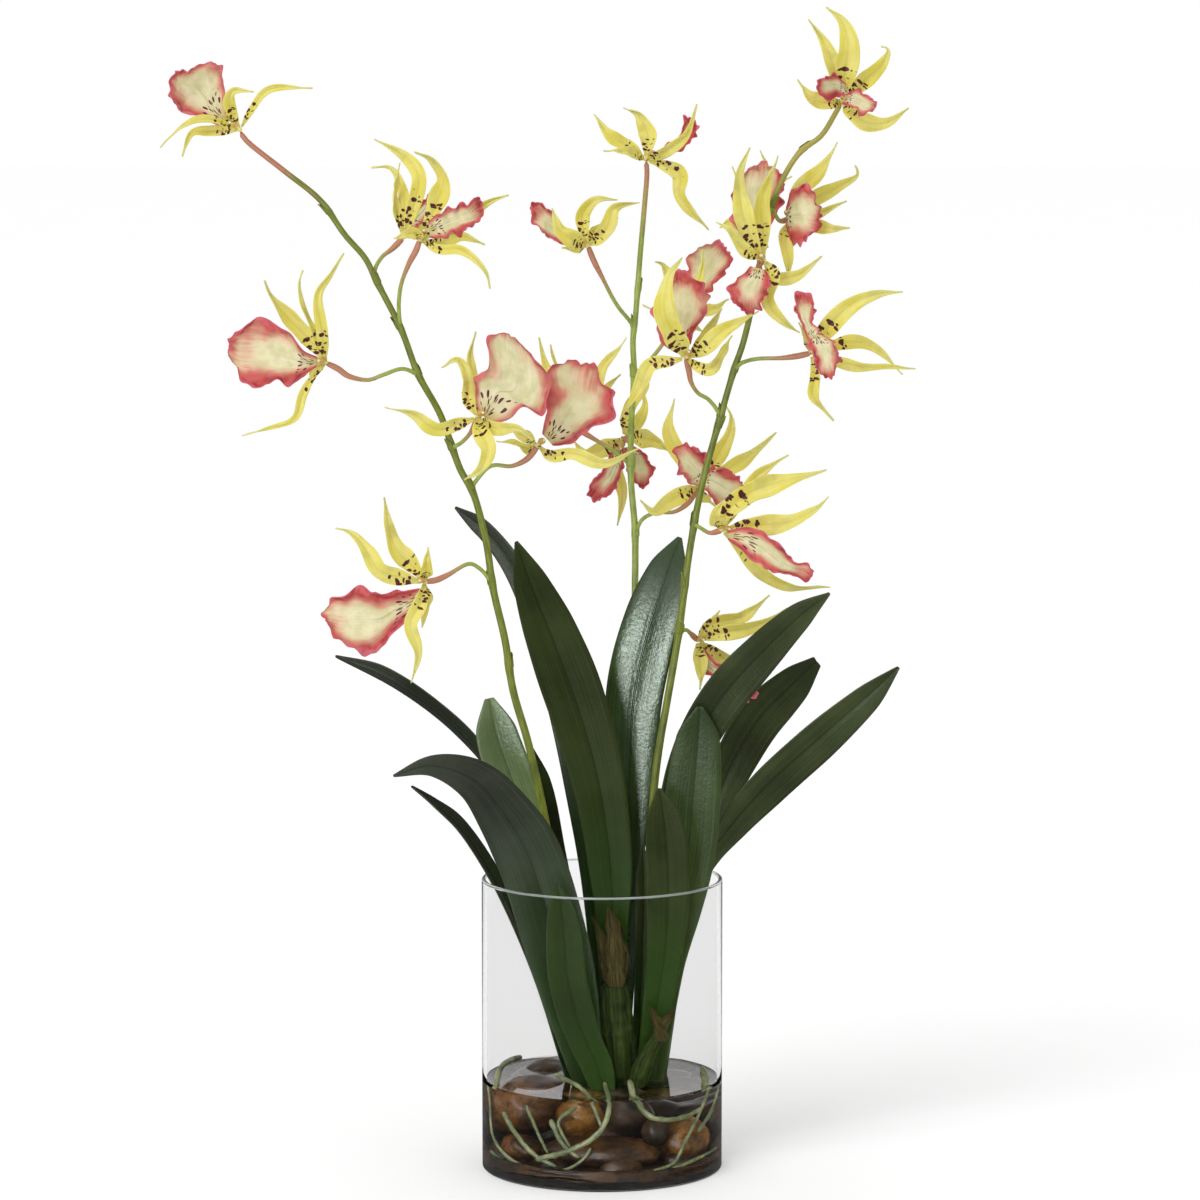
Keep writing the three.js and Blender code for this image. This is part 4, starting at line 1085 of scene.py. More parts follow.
for index, leaf in enumerate(leaves):
    points = [Vector((*leaf["foot"], leafShape["crown"])) * mm]
    points += [fromPicture(*point) for point in reversed(leaf["points"])]
    line = SmoothLine(points)
    width = through(list(reversed(leaf["halfWidth"])))
    tipTurn, footTurn = [math.radians(turn) for turn in leaf["turn"]]

    def leafRoll(along, tipTurn=tipTurn, footTurn=footTurn):
        return footTurn + (tipTurn - footTurn) * along

    def leafHalf(along, width=width):
        return max(0.45, width(along)) * mm

    def leafLift(across, along, half, index=index, leaf=leaf):
        groove = -leafShape["rib"] * mm * math.exp(-((across / 0.09) ** 2)) * smooth(half, 0.001, 0.006)
        curl = -leafShape["curl"] * half * smooth(abs(across), 0.7, 1)
        wave = leafShape["wave"] * across * uneven(along * 5, index * 4.3, 0) * smooth(half, 0.002, 0.01)
        return leaf.get("fold", leafShape["fold"]) * half * abs(across) ** 1.15 + groove + curl + wave

    name = leaf["name"] + "_blade"
    piece = blade(name, line, leafHalf, leafRoll, leafLift, *leafShape["grid"], byPoints=True)
    thicken(piece, leafShape["thickness"] * mm)
    dress(piece, "leaf", [leaf["name"]], leafPaints[leaf["tone"]], angle=70)
print("leaves made")

# Flower spikes, from the crown up. lean carries a spike and its flowers forwards (-) or backwards (+).
spikes = {
    "left": {
        "foot": [-9, 0], "lean": -75, "nodes": [0.2, 0.42, 0.89],
        "paint": {"blushFrom": 0.9, "blushTo": 0.97},
        "points": [
            [560, 930, -3], [549, 841, -4], [529, 746, -8], [513, 690, -11], [505, 640, -14], [493, 588, -17],
            [486, 541, -19], [472, 490, -22], [461, 471, -23], [440, 414, -25], [418, 374, -26],
            [401, 329, -27], [377, 282, -27], [365, 258, -27], [345, 235, -27], [320, 200, -28],
            [283, 170, -29], [244, 138, -30],
        ],
    },
    "middle": {
        "foot": [16, 24], "lean": 65, "nodes": [0.22, 0.44, 0.86],
        "paint": {"blushFrom": 0.92, "blushTo": 0.99, "pale": True},
        "points": [
            [630, 900, 27], [634, 700, 31], [635, 590, 31], [635, 531, 29], [631, 480, 25], [631, 431, 24],
            [634, 372, 22], [633, 340, 20], [636, 311, 19], [640, 257, 16], [645, 200, 12], [647, 172, 10],
        ],
    },
    "right": {
        "foot": [24, 13], "lean": -32, "nodes": [0.25, 0.5, 0.66, 0.94],
        "paint": {"blushFrom": 0.85, "blushTo": 0.93, "blush": (170, 158, 70)},
        "points": [
            [648, 900, 9], [654, 790, 5], [660, 742, 4], [667, 702, 4], [679, 631, 4], [689, 555, 2],
            [702, 485, -1], [719, 422, -4], [734, 370, -6], [744, 340, -7], [757, 280, -9], [765, 230, -10],
            [777, 191, -11], [800, 152, -12], [821, 136, -12], [835, 114, -12],
        ],
    },
}
leanFrom = 900
leanPower = 1.3


def leaning(side, across, down, depth):
    rise = max(0, (leanFrom - down) / leanFrom)
    return fromPicture(across, down, depth + spikes[side]["lean"] * rise**leanPower)


# Flowers: the heart where the tepals meet, the column's end, the stalk to the heart, and the tepals (half
# width, turn, and points in the picture whose depth counts from the heart's)
flowers = [
    {
        "name": "flower_left_top", "heart": [240, 130, -30], "column": [222, 110, -4],
        "tepals": [
            [3.6, 20, [229, 104, -4], [233, 91, -8], [254, 92, -10]],
            [2.6, -10, [251, 111, 4], [268, 90, 6], [313, 88, 4]],
            [2.4, 30, [205, 119, -10], [182, 127, -14], [160, 148, -16]],
            [3.4, 10, [212, 131, 8], [192, 133, 12], [182, 157, 14]],
            [3, 0, [226, 118, 12], [213, 98, 22], [207, 76, 26]],
        ],
    },
    {
        "name": "flower_left_second", "heart": [420, 240, -40], "column": [428, 212, -6],
        "pedicel": [[400, 327, -27], [399, 301, -31], [402, 282, -35], [410, 262, -38], [416, 251, -39]],
        "tepals": [
            [5.5, -10, [436, 206, 2], [444, 180, 4], [430, 158, 2], [414, 152, -2]],
            [5, 30, [440, 229, -6], [460, 223, -10], [487, 203, -12], [509, 195, -12]],
            [4.5, 10, [436, 243, 4], [460, 236, 8], [485, 245, 10]],
            [3.4, 20, [440, 249, -10], [462, 250, -14], [486, 272, -14], [490, 289, -12]],
            [4, 0, [414, 233, -8], [394, 239, -14]],
        ],
    },
    {
        "name": "flower_left_second_back", "heart": [403, 238, -13], "column": [406, 222, 0],
        "pedicel": [[377, 282, -27], [375, 270, -23], [382, 257, -18], [392, 249, -15]],
        "tepals": [
            [5.2, 0, [411, 215, -2], [419, 176, 0], [404, 156, 4], [374, 139, 6]],
            [4.6, 40, [399, 221, 6], [394, 196, 10], [400, 162, 10]],
            [4.4, 10, [403, 190, 14], [391, 168, 18], [371, 168, 20]],
            [4.2, 0, [416, 230, 12], [432, 216, 20]],
        ],
    },
    {
        "name": "flower_left_third", "heart": [326, 363, -40], "column": [312, 352, -8],
        "pedicel": [
            [418, 374, -26], [402, 369, -31], [383, 375, -36], [368, 380, -38], [348, 376, -40],
            [338, 369, -40],
        ],
        "tepals": [
            [5.4, 10, [316, 347, 6], [291, 321, 10], [271, 297, 8], [264, 280, 4]],
            [2.6, 30, [314, 332, -4], [303, 306, -8], [298, 284, -8], [303, 270, -6]],
            [3.8, -10, [322, 330, -12], [318, 293, -16], [330, 275, -16], [344, 253, -12]],
            [2.6, 0, [312, 378, -8], [302, 396, -12], [295, 418, -12], [268, 428, -8], [241, 436, -4]],
            [4, 30, [316, 372, 8], [308, 386, 14]],
        ],
    },
    {
        "name": "flower_left_fourth", "heart": [478, 418, -46], "column": [488, 400, -8],
        "pedicel": [[455, 447, -24], [462, 442, -32], [471, 432, -40]],
        "tepals": [
            [5, 0, [460, 423, -2], [437, 429, -4], [414, 414, -6], [384, 407, -6]],
            [4.6, 20, [468, 400, 2], [468, 377, 4], [457, 360, 4], [441, 368, 2]],
            [5.4, -10, [480, 432, -8], [488, 450, -12], [479, 470, -12], [464, 480, -8]],
            [4.6, 20, [496, 428, -10], [518, 428, -14], [533, 441, -14]],
            [4, 0, [474, 390, 12], [470, 352, 16], [476, 331, 16]],
        ],
    },
    {
        "name": "flower_left_fifth", "heart": [538, 446, -20], "column": [548, 430, -6],
        "pedicel": [[472, 486, -22], [491, 466, -20], [512, 466, -19], [527, 459, -19]],
        "tepals": [
            [4.6, 0, [552, 456, -6], [572, 453, -10], [604, 463, -12], [639, 448, -10]],
            [4, 20, [524, 436, 4], [510, 430, 6]], [4, 40, [530, 450, 8], [516, 444, 12], [496, 441, 12]],
        ],
    },
    {
        "name": "flower_left_low", "heart": [425, 582, -30], "column": [416, 574, -8],
        "pedicel": [[490, 582, -17], [479, 568, -20], [469, 564, -23], [448, 575, -27], [437, 580, -29]],
        "tepals": [
            [6, 0, [404, 578, 0], [380, 571, -2], [367, 551, -2], [351, 533, 0], [335, 528, 2]],
            [5.6, 20, [412, 566, 8], [397, 550, 10], [389, 526, 10], [384, 497, 6]],
            [4.5, 0, [420, 604, -10], [410, 624, -14], [418, 652, -14], [411, 683, -10]],
            [4, 20, [426, 566, -6], [428, 547, -8]], [4, 30, [428, 598, 8], [422, 628, 12]],
        ],
    },
    {
        "name": "flower_middle_top", "heart": [646, 160, 8], "column": [656, 146, -2],
        "tepals": [
            [4.8, 0, [628, 146, 0], [610, 136, 0], [594, 114, 2]], [4, 30, [626, 152, -8], [603, 151, -10]],
            [5.2, 0, [648, 134, 6], [638, 115, 8], [623, 107, 8]],
            [4.4, 20, [668, 150, -10], [687, 133, -12], [697, 104, -10]],
            [5, 10, [664, 165, -4], [681, 174, -6], [680, 195, -6], [709, 230, -4]],
        ],
    },
    {
        "name": "flower_middle_second", "heart": [588, 246, 6], "column": [576, 232, -4],
        "pedicel": [[633, 326, 20], [617, 305, 14], [602, 277, 9], [593, 259, 7]],
        "tepals": [
            [5.4, 0, [574, 240, -6], [560, 230, -8], [552, 208, -6]],
            [4.6, 10, [583, 228, 4], [583, 214, 6], [596, 200, 6], [618, 200, 4]],
            [5, -10, [599, 238, -4], [609, 224, -6], [614, 208, -6], [640, 202, -4]],
            [4, 0, [598, 230, 12], [618, 217, 16]], [4, 30, [578, 248, 8], [562, 248, 12]],
        ],
    },
    {
        "name": "flower_middle_behind", "heart": [624, 438, 44], "column": [618, 452, -7],
        "pedicel": [[631, 464, 25], [632, 452, 30], [630, 443, 35]],
        "tepals": [
            [5.8, 0, [604, 448, 0], [586, 454, 0], [574, 441, 2]],
            [5, 10, [626, 418, 4], [632, 402, 6], [646, 387, 6], [647, 369, 4]],
            [5.6, 0, [642, 438, 0], [655, 442, 0], [669, 451, 2]],
            [5, 0, [614, 466, 8], [622, 494, 10], [617, 526, 8]],
            [4.4, 20, [636, 424, 10], [645, 405, 14], [641, 387, 16]],
        ],
    },
    {
        "name": "flower_middle_hidden", "heart": [574, 426, 10], "column": [572, 414, 0],
        "pedicel": [[629, 464, 25], [612, 450, 18], [594, 439, 14], [584, 433, 12]],
        "tepals": [
            [5, 0, [592, 396, 2], [604, 366, 4], [619, 349, 4], [627, 337, 4]],
            [4.4, 0, [594, 404, 8], [608, 386, 10], [621, 374, 10]],
            [4.6, 20, [562, 400, 4], [546, 366, 6], [539, 337, 6]],
            [4.4, 10, [568, 396, 12], [556, 366, 14], [550, 344, 14]],
            [4.4, 0, [560, 430, 8], [545, 420, 12]],
        ],
    },
    {
        "name": "flower_middle_large", "spike": "right", "heart": [686, 358, -18], "column": [692, 336, -8],
        "pedicel": [[719, 416, -4], [709, 400, -8], [698, 393, -11], [691, 382, -14], [689, 371, -16]],
        "tepals": [
            [8, 0, [674, 334, -10], [666, 311, -14], [669, 280, -14], [682, 257, -8]],
            [4.4, 10, [699, 346, 4], [709, 328, 4], [722, 308, 2]],
            [5, 0, [702, 350, -4], [720, 333, -6], [741, 321, -6], [759, 311, -4]],
            [4.4, 20, [698, 366, -4], [710, 368, -4], [732, 335, 0]],
            [4.6, 0, [672, 361, 2], [650, 365, 2], [641, 385, 2], [620, 420, 6]],
            [4, 30, [662, 316, 10], [642, 305, 12]],
        ],
    },
    {
        "name": "flower_middle_far", "heart": [680, 311, 28], "column": [686, 300, -8],
        "pedicel": [[634, 374, 22], [648, 362, 24], [662, 345, 26], [672, 326, 27]],
        "tepals": [
            [4.6, 0, [692, 300, -14], [702, 270, -16], [703, 249, -14]],
            [4.6, 0, [696, 309, 0], [711, 309, 2], [729, 299, 2]],
            [4.6, 20, [673, 286, 2], [663, 266, 4], [655, 262, 0]],
            [4.2, 0, [686, 290, 10], [700, 274, 14], [706, 258, 16]],
            [4.2, 20, [688, 322, 8], [704, 332, 12]],
        ],
    },
    {
        "name": "flower_right_top", "heart": [842, 101, -12], "column": [849, 82, -4],
        "tepals": [
            [4.8, 0, [835, 70, 2], [824, 42, 4], [808, 19, 4]],
            [6.4, 10, [845, 72, -4], [849, 46, -6], [843, 22, -6], [826, 7, -4]],
            [5.4, -10, [858, 87, 0], [882, 63, 0], [888, 50, 0], [881, 46, 2]],
            [5, 0, [829, 103, -6], [811, 98, -8], [797, 79, -8]],
            [5.6, 10, [854, 113, -8], [866, 122, -10], [886, 123, -10], [909, 108, -8]],
        ],
    },
    {
        "name": "flower_right_second", "heart": [790, 219, 2], "column": [784, 200, -6],
        "pedicel": [[772, 206, -11], [776, 216, -6], [780, 221, -3]],
        "tepals": [
            [5.6, 0, [800, 190, 2], [820, 172, 2], [838, 142, 4]],
            [5.4, 0, [815, 198, 6], [838, 186, 8], [857, 175, 8], [855, 165, 6]],
            [3.2, 10, [815, 215, 2], [835, 206, 2], [847, 201, 2]],
            [5, 20, [812, 224, -6], [832, 228, -8], [850, 228, -8]],
            [4.6, 0, [786, 240, -6], [788, 260, -8], [788, 279, -6]],
        ],
    },
    {
        "name": "flower_right_third", "heart": [763, 260, -31], "column": [760, 246, -8],
        "pedicel": [[758, 276, -9], [756, 271, -17], [758, 267, -24]],
        "tepals": [
            [5.8, 0, [750, 236, -2], [741, 204, -4], [740, 172, -4], [750, 147, -2]],
            [5.2, 0, [763, 236, 4], [762, 200, 6], [778, 155, 4]],
            [4.6, 10, [744, 250, -4], [731, 231, -6], [716, 222, -4]],
            [4.8, 0, [775, 272, -4], [767, 299, -8], [782, 320, -8], [800, 333, -4]],
            [4.6, 0, [776, 278, 4], [797, 275, 6], [822, 256, 6]],
        ],
    },
    {
        "name": "flower_right_third_back", "heart": [758, 216, 12], "column": [752, 214, -6],
        "pedicel": [[764, 238, -10], [761, 230, -3], [760, 224, 4]],
        "tepals": [
            [4.6, 0, [742, 224, 2], [731, 222, 6], [720, 228, 8]],
            [4.6, 0, [770, 196, 4], [782, 182, 6], [792, 176, 8]],
            [4.6, 0, [764, 190, 10], [766, 168, 12], [760, 150, 12]],
            [4.4, 20, [748, 200, 12], [738, 180, 16], [732, 166, 18]],
            [4.4, 0, [762, 232, 8], [768, 248, 12]],
        ],
    },
    {
        "name": "flower_right_fourth", "heart": [811, 353, -20], "column": [808, 336, -6],
        "pedicel": [[734, 370, -6], [742, 363, -10], [756, 359, -14], [782, 358, -18], [798, 356, -19]],
        "tepals": [
            [6, 0, [826, 330, -4], [850, 306, -6], [878, 294, -6], [903, 292, -4]],
            [4.2, 0, [832, 346, 4], [856, 342, 6], [876, 349, 6], [903, 375, 6]],
            [3.8, 20, [834, 360, -6], [862, 366, -8], [890, 366, -8], [916, 369, -6]],
            [4.2, 30, [806, 338, 8], [799, 322, 10]],
            [3.6, 0, [815, 374, -2], [813, 396, -2], [824, 410, 0], [834, 421, 2]],
        ],
    },
    {
        "name": "flower_right_fifth", "spike": "middle", "heart": [698, 487, 16], "column": [700, 470, -8],
        "pedicel": [
            [635, 534, 27], [642, 520, 25], [655, 513, 23], [674, 512, 20], [686, 505, 18], [692, 498, 17],
        ],
        "tepals": [
            [5.2, 0, [684, 462, 4], [669, 430, 6], [675, 398, 6]],
            [5.4, 0, [714, 462, 6], [730, 433, 8], [731, 415, 8], [726, 406, 8]],
            [5.4, 0, [720, 474, -4], [750, 454, -4], [777, 432, -2]],
            [5.4, 0, [684, 493, -6], [667, 503, -8], [654, 512, -6], [640, 500, -4]],
            [4.4, 20, [704, 496, 8], [716, 506, 12]],
        ],
    },
    {
        "name": "flower_right_sixth", "heart": [722, 530, -15], "column": [736, 522, -8],
        "pedicel": [[694, 523, 0], [702, 529, -5], [710, 533, -10]],
        "tepals": [
            [4.6, 10, [742, 497, 8], [759, 475, 10], [789, 455, 10]],
            [7.4, 0, [728, 510, 0], [752, 492, 2], [790, 481, 2], [827, 470, 2]],
            [6.4, 0, [752, 526, -4], [788, 523, -6], [814, 511, -6], [829, 496, -4]],
            [5.4, 10, [744, 550, 4], [766, 575, 6], [790, 586, 6], [831, 587, 6]],
            [4.4, 0, [716, 514, -8], [724, 500, -12]],
        ],
    },
    {
        "name": "flower_right_low", "heart": [697, 640, 26], "column": [706, 636, -6],
        "pedicel": [[680, 629, 5], [686, 630, 12], [690, 633, 19]],
        "tepals": [
            [5, 0, [712, 624, 0], [742, 617, 0], [757, 606, 0], [770, 595, 0]],
            [5.2, 0, [722, 633, -4], [745, 629, -6], [773, 618, -6], [788, 608, -4]],
            [5, 0, [716, 654, 2], [738, 666, 4], [774, 661, 4]], [4.2, 0, [700, 662, -4], [700, 690, -6]],
            [4.4, 20, [706, 626, 10], [720, 610, 14]],
        ],
    },
]
for flower in flowers:
    # a flower grows on the spike in its name, unless it says another
    flower.setdefault("spike", flower["name"].split("_")[1])
# Lips, one list for each lobe: depths from the heart's, then rows of its two edges in the picture, outwards
lips = {
    "flower_left_top": [
        [
            [2, 4, 2, -2], [219, 126, 227, 112], [198, 118, 225, 92], [180, 112, 223, 70],
            [174, 102, 214, 61], [170, 89, 203, 67], [173, 76, 188, 71],
        ],
    ],
    "flower_left_second": [
        [
            [-6, -14, -18], [428, 222, 430, 238], [440, 211, 445, 239], [455, 206, 458, 232],
            [466, 203, 470, 228], [474, 197, 480, 222],
        ],
    ],
    "flower_left_second_back": [
        [[4, 8, 8], [404, 224, 412, 232], [412, 210, 424, 222], [424, 198, 436, 208], [434, 190, 442, 200]],
    ],
    "flower_left_third": [
        [
            [0, -2, 0, 2, 4], [318, 357, 317, 367], [303, 350, 306, 374], [292, 334, 292, 384],
            [276, 324, 274, 384], [256, 320, 258, 389], [240, 328, 243, 380], [229, 338, 235, 360],
        ],
    ],
    "flower_left_fourth": [
        [
            [0, 0, 2, 6, 8], [478, 410, 490, 424], [475, 394, 508, 420], [474, 378, 524, 406],
            [487, 367, 543, 417], [488, 353, 551, 402], [487, 341, 547, 376], [495, 334, 533, 357],
            [506, 334, 517, 343],
        ],
    ],
    "flower_left_fifth": [
        [
            [0, 2, 4, 6, 10], [542, 434, 553, 446], [545, 416, 570, 444], [547, 396, 590, 430],
            [546, 378, 613, 420], [549, 365, 614, 400], [566, 362, 603, 378],
        ],
    ],
    "flower_left_low": [
        [
            [0, 0, 0, 2, 4], [420, 588, 420, 606], [406, 590, 408, 620], [392, 590, 395, 632],
            [378, 594, 384, 645], [364, 587, 368, 654], [346, 592, 350, 648], [332, 600, 336, 636],
            [326, 612, 325, 624],
        ],
    ],
    "flower_middle_top": [
        [
            [2, 4, 6, 6], [650, 158, 656, 163], [664, 147, 669, 156], [676, 138, 683, 150],
            [683, 122, 695, 138], [684, 113, 701, 128],
        ],
    ],
    "flower_middle_second": [
        [
            [0, 2, 2, 2], [580, 236, 578, 248], [566, 230, 564, 246], [556, 216, 549, 238],
            [546, 206, 540, 232], [534, 202, 530, 216],
        ],
    ],
    "flower_middle_behind": [
        [
            [-2, -4, -4, -3], [613, 446, 627, 448], [608, 459, 624, 466], [601, 472, 617, 484],
            [592, 480, 608, 494], [588, 491, 600, 501],
        ],
        [
            [-2, -3, -3, -2], [620, 448, 634, 446], [626, 462, 647, 455], [631, 476, 653, 468],
            [640, 489, 648, 484],
        ],
    ],
    "flower_middle_hidden": [
        [
            [2, 4, 6, 8], [572, 416, 584, 420], [570, 402, 596, 408], [572, 386, 602, 392],
            [580, 372, 600, 376],
        ],
    ],
    "flower_middle_large": [
        [
            [0, 0, 0, 2, 4], [679, 354, 691, 344], [664, 345, 694, 332], [657, 325, 706, 314],
            [653, 308, 707, 298], [661, 291, 699, 285], [672, 274, 686, 272],
        ],
    ],
    "flower_middle_far": [
        [
            [0, 2, 4, 6], [684, 302, 694, 308], [686, 284, 706, 294], [688, 266, 720, 280],
            [692, 252, 731, 268], [708, 243, 730, 253],
        ],
    ],
    "flower_right_top": [
        [[-4, -8, -14, -18], [846, 84, 850, 100], [836, 76, 838, 94], [826, 75, 828, 97], [817, 80, 819, 92]],
        [
            [-10, -18, -24, -24], [846, 94, 842, 104], [858, 90, 852, 108], [870, 98, 862, 113],
            [877, 102, 872, 111],
        ],
    ],
    "flower_right_second": [
        [
            [-2, -6, -12, -14, -12], [786, 208, 786, 228], [792, 192, 791, 240], [803, 183, 800, 248],
            [813, 192, 808, 243], [819, 208, 815, 230],
        ],
    ],
    "flower_right_third": [
        [
            [-6, -10, -12, -10], [750, 266, 766, 270], [740, 277, 771, 280], [731, 285, 769, 292],
            [730, 298, 765, 302], [738, 309, 757, 310],
        ],
    ],
    "flower_right_third_back": [
        [
            [0, 0, 2, 4], [741, 236, 764, 236], [734, 224, 772, 222], [736, 206, 778, 206],
            [732, 192, 784, 190], [738, 180, 784, 176], [751, 166, 774, 167],
        ],
    ],
    "flower_right_fourth": [
        [
            [-15, -13, -11, -9, -7], [810, 342, 822, 342], [804, 331, 819, 331], [799, 320, 813, 321],
            [793, 308, 816, 308], [794, 296, 812, 297],
        ],
        [
            [-14, -16, -18, -18], [806, 336, 822, 334], [811, 349, 836, 345], [815, 365, 838, 362],
            [823, 377, 835, 376],
        ],
    ],
    "flower_right_fifth": [
        [
            [-4, -6, -7, -5], [706, 480, 698, 486], [707, 462, 692, 484], [700, 450, 682, 477],
            [688, 444, 678, 466], [677, 446, 674, 456],
        ],
        [
            [-4, -5, -4, -3], [704, 482, 702, 488], [713, 466, 706, 493], [728, 470, 716, 502],
            [738, 478, 728, 504], [743, 488, 738, 498],
        ],
    ],
    "flower_right_sixth": [
        [
            [-8, -12, -14, -14, -12, -13], [727, 531, 728, 540], [748, 527, 740, 550], [766, 533, 754, 560],
            [780, 543, 766, 570], [789, 557, 779, 574], [798, 563, 792, 575], [808, 564, 803, 579],
            [812, 570, 809, 581],
        ],
    ],
    "flower_right_low": [
        [
            [0, -2, -2, 0], [704, 647, 696, 653], [710, 656, 700, 668], [724, 668, 714, 680],
            [742, 680, 730, 694], [757, 689, 744, 705],
        ],
    ],
}
flowerShape = {"spread": 1.7, "start": 2.2}
tepalShape = {
    "thickness": 0.75, "fold": 0.42, "twist": 1.3, "waves": [9, 15], "ripple": 0.24, "crumple": 1.4,
    "least": 0.45, "grid": [6, 22],
}
lipShape = {
    "thickness": 0.8, "cup": 0.16, "ruffle": 6.5, "scallop": 5, "bulge": 0.17, "wave": 0.11, "fine": 0.26,
    "pleat": 0.35, "pleats": 9, "broad": 26, "grid": [28, 22],
}


def tepalLine(flower, points):
    centre = leaning(flower["spike"], *flower["heart"])
    line = [fromPicture(a, d, centre.y / mm + flowerShape["spread"] * offset) for a, d, offset in points]
    start = centre + (line[0] - centre).normalized() * flowerShape["start"] * mm
    return SmoothLine([start, *line])


def tepal(flower, half, turn, points):
    line = tepalLine(flower, points)
    twist = chance.uniform(-tepalShape["twist"], tepalShape["twist"])
    phase = chance.uniform(0, 6)
    waves = chance.uniform(*tepalShape["waves"])

    def tepalHalf(along):
        breadth = math.sin(math.pi * along**0.72) ** 1.2 * (1 + 0.3 * uneven(along * 4, phase * 5, 0))
        return max(tepalShape["least"], half * max(0.3 * (1 - along), breadth)) * mm

    def tepalRoll(along):
        return math.radians(turn) + twist * along**2

    def tepalLift(across, along, half):
        ripple = tepalShape["ripple"] * half * math.sin(waves * along + phase + 1.4 * across)
        crumple = tepalShape["crumple"] * mm * uneven(across * 1.2, along * 6, phase * 9)
        fold = tepalShape["fold"] * half * abs(across) ** 1.1
        return fold + ripple * abs(across) ** 1.4 + crumple * smooth(along, 0.15, 0.5)

    return blade("tepal", line, tepalHalf, tepalRoll, tepalLift, *tepalShape["grid"])


def lip(flower, rows, depths, seed):
    first = SmoothLine([Vector((row[0], row[1], 0)) for row in rows])
    second = SmoothLine([Vector((row[2], row[3], 0)) for row in rows])
    deep = through(depths)
    centre = leaning(flower["spike"], *flower["heart"]).y / mm
    piece = grid("lip", *lipShape["grid"])
    for vertex, across, along in sheet(piece):
        nearEnd = min(1, along + 0.03)
        one, other = first.at(first.shareOf(along)), second.at(second.shareOf(along))
        ahead = first.at(first.shareOf(nearEnd)) + second.at(second.shareOf(nearEnd))
        behind = first.at(first.shareOf(nearEnd - 0.06)) + second.at(second.shareOf(nearEnd - 0.06))
        onward = (ahead - behind).normalized()
        breadth = (other - one).length
        spot = one.lerp(other, (across + 1) / 2)
        spot += onward * breadth * lipShape["bulge"] * (1 - across**2) * smooth(along, 0.6, 1)
        edge = max(abs(across) ** 3, smooth(along, 0.72, 1) ** 1.5) * smooth(along, 0.04, 0.35)
        outward = ((other - one).normalized() * across + onward * along**3).normalized()
        wave = uneven(spot.x * lipShape["wave"], spot.y * lipShape["wave"], seed)
        fine = uneven(spot.x * lipShape["fine"], spot.y * lipShape["fine"], seed + 7)
        scale = min(1, breadth / lipShape["broad"])
        spot += outward * edge * scale * lipShape["scallop"] * (1.5 * fine + 1.3 * wave)
        fan = math.atan2(across, along + 0.15)
        pleat = lipShape["pleat"] * math.sin(fan * lipShape["pleats"] + seed) * smooth(along, 0.05, 0.4)
        depth = centre + flowerShape["spread"] * deep(along)
        depth -= lipShape["cup"] * breadth / 3.2 * across**2
        depth += edge * scale * lipShape["ruffle"] * (wave * 1.3 + fine * 0.8) + pleat
        vertex.co = fromPicture(spot.x, spot.y, depth)
    return piece


stems = {}
for side, spike in spikes.items():
    top = next(flower for flower in flowers if flower["spike"] == side and "pedicel" not in flower)
    points = [Vector((*spike["foot"], leafShape["crown"])) * mm]
    points += [leaning(side, *point) for point in spike["points"]]
    points.append(leaning(side, *top["heart"]))
    stems[side] = SmoothLine(points)

stalkShape = {
    "foot": 2.9, "top": 1.6, "pedicel": 1.25, "ovary": 1.9, "swelling": 0.4, "swellingLength": 0.0045,
    "stem": {"sides": 14, "steps": 180}, "stalk": {"sides": 12, "steps": 48, "ribs": 3, "ribDepth": 0.06},
}
bractShape = {
    "below": 0.002, "length": 0.009, "wrap": 1.5, "flare": 0.0009, "gap": 0.0002, "wave": 0.0006,
    "thickness": 0.0004, "grid": [12, 8],
}


# A bract wraps part of the way round a stem, and comes to a point
def bract(line, start, radius, facing):
    piece = grid("bract", *bractShape["grid"])
    for vertex, across, along in sheet(piece):
        share = start + along * bractShape["length"] / line.length
        narrow = (1 - along**2.4) ** 0.8 * 0.98 + 0.02
        angle = facing + across * bractShape["wrap"] * narrow
        side, tangent = line.side(share), line.tangent(share)
        out = side * math.cos(angle) + tangent.cross(side) * math.sin(angle)
        reach = radius(share) + bractShape["flare"] * along**2 + bractShape["gap"]
        reach += bractShape["wave"] * along * uneven(across * 2, along * 3, facing)
        over = max(0, share - 1) * line.length
        vertex.co = line.at(share) + tangent * over + out * reach
    return thicken(piece, bractShape["thickness"])


